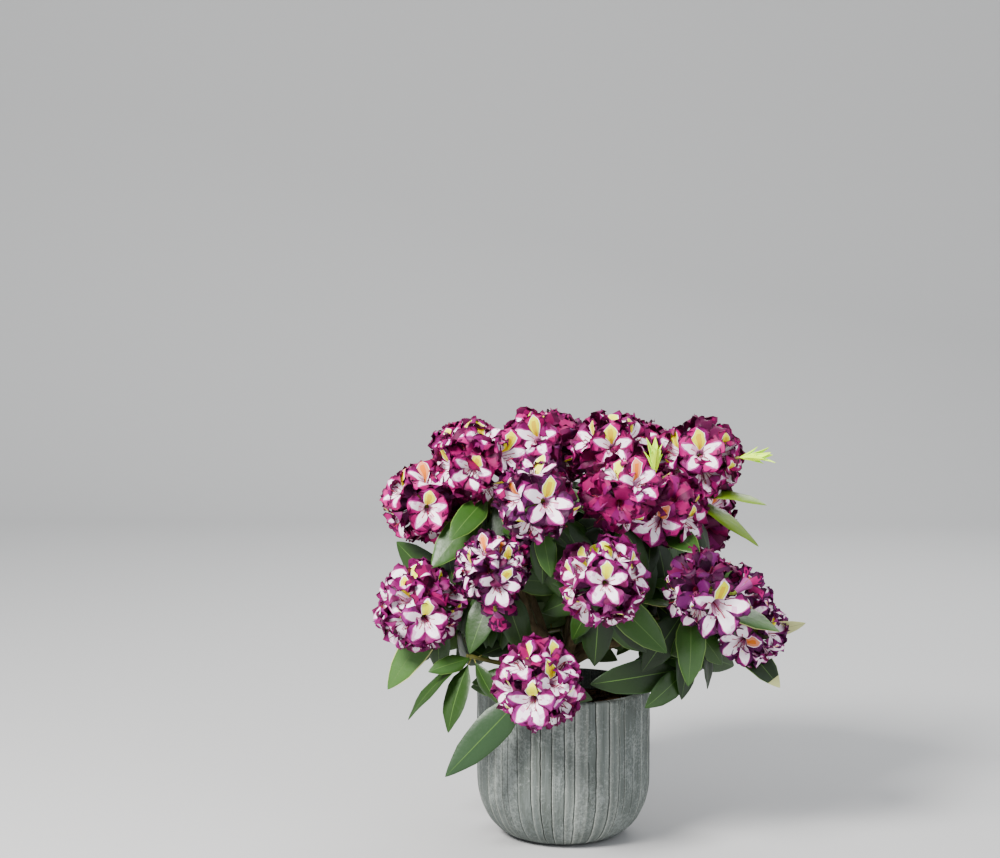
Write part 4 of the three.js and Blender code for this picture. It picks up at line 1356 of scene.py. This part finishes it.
def planter_finish():
    """Weathered cement: darker in the grooves, a painted highlight on their lips, and lime in patches.
    The groove is above zero in a joint and below zero on its lip."""
    finish = Finish("weathered_cement", Specular_IOR_Level=0.3)
    streaks = finish.noise(60, 5, 0.6, (1, 1, 0.1))
    threads = finish.noise(380, 3, 0.65, (1, 1, 0.04))
    clouds = finish.noise(9, 4, 0.55)
    specks = finish.noise(280, 4, 0.7)
    patches = finish.noise(16, 6, 0.75, (1, 1, 0.6))
    groove = finish.node("ShaderNodeAttribute", {"attribute_name": "groove"}, output="Fac")
    base = finish.ramp(streaks * 0.4 + clouds * 0.25 + threads * 0.35, [
        (0.36, colour("444A47")), (0.5, colour("5C6463")), (0.64, colour("747C7B"))])
    tinted = finish.mix(clouds * 0.6, base, colour("5A5E54"))
    lime = finish.ramp(patches * 0.6 + specks * 0.4, [(0.5, (0, 0, 0, 1)), (0.62, (1, 1, 1, 1))])
    washed = finish.mix(lime * 0.5, tinted, colour("A6ADAA"))
    # The raised lip of each joint is painted lighter: a painted highlight, broken by specks.
    lip = 0 - groove
    lip_highlighted = finish.mix(lip * specks * 1.3, washed, colour("B6BAB2"))
    finish.feed("Base Color", finish.mix(groove * (streaks + 0.25), lip_highlighted, colour("1E211A")))
    finish.feed("Roughness", specks * 0.2 + 0.72)
    finish.feed("Normal", finish.bump(specks * 0.5 + streaks + threads, 0.8, 0.0022))
    return finish.material


CHIPS = 420
CHIP_SEED = 41


def soil_height(radius):
    """The height of the soil at a distance from the trunk: level, with a mound in the middle."""
    return SOIL_TOP + SOIL_MOUND * max(0, 1 - max(0, radius - MOUND_RADIUS) / MOUND_SLOPE)


def make_soil():
    """Dark, crumbly soil that heaps a little round the trunk, under chips of bark."""
    sides, count = 72, 16
    rows = []
    for i in range(1, count + 1):
        radius = (POT_RADIUS - WALL - 0.6) * i / count
        ring = []
        for k in range(sides):
            turn = k * TURN / sides
            spot = Vector((radius * math.cos(turn), radius * math.sin(turn), 0))
            lump = 2.2 * noise.noise(spot * 0.09) + 1.1 * noise.noise(spot * 0.3)
            ring.append((spot.x, spot.y, soil_height(radius) - 1.5 + min(lump, 1.4)))
        rows.append(ring)
    ends = [[[0, 0, SOIL_TOP + 4], [0, 0, SOIL_TOP - 5]]]
    # These rings widen as they go, so each face is turned over to look up
    faces = ringed_faces(count, sides)[:, [0, 3, 2, 1]]
    heap = Heap()
    heap.add(np.concatenate(rows + ends), faces, 0)
    return heap.piece("soil_surface", [soil_finish()])


def make_chips():
    """Flat chips of bark strewn over the soil."""
    heap = Heap()
    rng = np.random.default_rng(CHIP_SEED)
    corners = np.array([[x, y, z] for z in (-1, 1) for y in (-1, 1) for x in (-1, 1)], dtype=float)
    faces = np.array([[0, 2, 3, 1], [4, 5, 7, 6], [0, 1, 5, 4], [2, 6, 7, 3], [0, 4, 6, 2], [1, 3, 7, 5]])
    for _ in range(CHIPS):
        radius = (POT_RADIUS - WALL - 9) * math.sqrt(rng.random())
        turn = rng.random() * TURN
        if radius < FLARE_RADIUS + 4:
            continue
        size = np.array([rng.uniform(3, 8), rng.uniform(2, 4.5), rng.uniform(0.7, 1.6)])
        shape = corners * size * (1 + rng.normal(0, 0.16, corners.shape))
        spin = Matrix.Rotation(rng.random() * TURN, 3, "Z")
        lean = Matrix.Rotation(rng.normal(0, 0.22), 3, "X")
        centre = [radius * math.cos(turn), radius * math.sin(turn), soil_height(radius) + 0.6]
        heap.add(shape @ np.array(spin @ lean).T + centre, faces, 0)
    return heap.piece("soil_chips", [chip_finish()], 0.5)


def soil_finish():
    finish = Finish("soil", Specular_IOR_Level=0.15)
    crumbs = finish.noise(120, 6, 0.7)
    brown = finish.ramp(crumbs, [
        (0.35, colour("1D1510")), (0.6, colour("3D2C20")), (0.8, colour("5B4736"))])
    finish.feed("Base Color", brown)
    finish.feed("Roughness", crumbs * 0.2 + 0.78)
    finish.feed("Normal", finish.bump(crumbs, 1.0, 0.006))
    return finish.material


def chip_finish():
    finish = Finish("bark_chips", Specular_IOR_Level=0.2)
    grain = finish.noise(60, 4, 0.6)
    finish.feed("Base Color", finish.ramp(grain, [(0.35, colour("35251A")), (0.65, colour("6B4C33"))]))
    finish.feed("Roughness", grain * 0.2 + 0.7)
    finish.feed("Normal", finish.bump(grain, 0.6, 0.002))
    return finish.material


# Putting the plant together

def dress(piece, slot, *nodes):
    """Puts a piece on the part's one body in place of some nodes, which it hides. The slot is not used."""
    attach(piece, "root")
    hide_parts(*nodes)


petal_skins = [petal_finish("petal_" + name, code) for name, code in PETAL_CODES.items()]
leaf_skins = [leaf_finish("leaf_" + name, code) for name, code in LEAF_CODES.items()]
for group, names in GROUPS.items():
    leaves, blossom, twigs = Heap(), Heap(), Heap()
    for name in names:
        mass = masses[name]
        for i, leaf in enumerate(grow_leaves(mass)):
            add_leaf(leaves, leaf, mass.shoots[0].seed + 13 * i)
        add_twigs(twigs, mass)
        for shoot in mass.shoots:
            if shoot.reach:
                add_truss(blossom, shoot)
        for index, tuft in enumerate(TUFTS):
            if tuft[0] == name:
                add_tuft(leaves, tuft, index)
    nodes = ["foliage_" + name for name in names]
    dress(leaves.piece("leaves_" + group, leaf_skins), "foliage", *nodes)
    dress(blossom.piece("blossom_" + group, petal_skins, 0.9), "foliage", *nodes)
    dress(twigs.piece("twigs_" + group, leaf_skins), "foliage", *nodes)

bark_nodes = ["trunk"] + ["bough_" + name for name in masses]
dress(add_bark().piece("bark", [bark_finish()]), "bark", *bark_nodes)
dress(make_planter(), "planter", "planter")
dress(make_soil(), "soil", "soil")
dress(make_chips(), "soil", "soil")


# Floor, light and camera

FLOOR_NEAR = -6
FLOOR_FAR = 3.2
FLOOR_BEND = 1.2
FLOOR_HALF_WIDTH = 9
FLOOR_RISE = 6


def make_floor():
    """A pale floor that curves up far behind."""
    profile = [(FLOOR_NEAR, 0), (FLOOR_FAR, 0)]
    for turn in np.linspace(0.1, math.pi / 2, 10):
        profile.append((FLOOR_FAR + FLOOR_BEND * math.sin(turn), FLOOR_BEND - FLOOR_BEND * math.cos(turn)))
    profile.append((FLOOR_FAR + FLOOR_BEND, FLOOR_RISE))
    points, faces = [], []
    for depth, height in profile:
        points += [(-FLOOR_HALF_WIDTH, depth, height), (FLOOR_HALF_WIDTH, depth, height)]
    for i in range(len(profile) - 1):
        faces.append((2 * i, 2 * i + 1, 2 * i + 3, 2 * i + 2))
    mesh = bpy.data.meshes.new("floor")
    mesh.from_pydata(points, [], faces)
    mesh.shade_smooth()
    finish = Finish("pale_floor", Base_Color=(0.45, 0.45, 0.45, 1), Roughness=0.85, Specular_IOR_Level=0.2)
    mesh.materials.append(finish.material)
    floor = bpy.data.objects.new("floor", mesh)
    bpy.context.scene.collection.objects.link(floor)


def make_light(name, spot, aim, size, power, tint=(1, 1, 1)):
    """A soft, square light that points from one spot to another."""
    data = bpy.data.lights.new(name, "AREA")
    data.size = size
    data.energy = power
    data.color = tint
    light = bpy.data.objects.new(name, data)
    light.location = spot
    light.rotation_euler = (Vector(aim) - Vector(spot)).to_track_quat("-Z", "Y").to_euler()
    bpy.context.scene.collection.objects.link(light)


def make_world():
    """A pale sky that lights everything evenly."""
    world = bpy.data.worlds.new("world")
    world.use_nodes = True
    background = world.node_tree.nodes["Background"]
    background.inputs["Color"].default_value = (0.86, 0.9, 0.95, 1)
    background.inputs["Strength"].default_value = 0.85
    bpy.context.scene.world = world


def make_camera():
    """The photograph's view: its eye level is above the middle of the picture, and the planter
    stands to the right of it."""
    picture_pixels = 1000
    focal_pixels = 2300
    eye_level_pixels = 242
    aside_pixels = 65
    pitch = math.atan(eye_level_pixels / focal_pixels)
    yaw = math.atan(aside_pixels * math.cos(pitch) / focal_pixels)
    data = bpy.data.cameras.new("camera")
    data.sensor_width = 36
    data.lens = data.sensor_width * focal_pixels / picture_pixels
    camera = bpy.data.objects.new("camera", data)
    camera.location = (0, -3.40, 0.9698)
    camera.rotation_euler = (math.pi / 2 - pitch, 0, yaw)
    bpy.context.scene.collection.objects.link(camera)
    bpy.context.scene.camera = camera


make_floor()
make_light("key", (-1.75, -2.2, 2.75), (0, 0, 0.4), 1.0, 400, (1, 0.98, 0.95))
make_light("fill", (2.6, -2.0, 1.6), (0, 0, 0.35), 2.4, 40, (0.95, 0.97, 1))
make_light("back", (0.8, 2.4, 2.6), (0, 0, 0.4), 2.0, 80)
make_world()
make_camera()
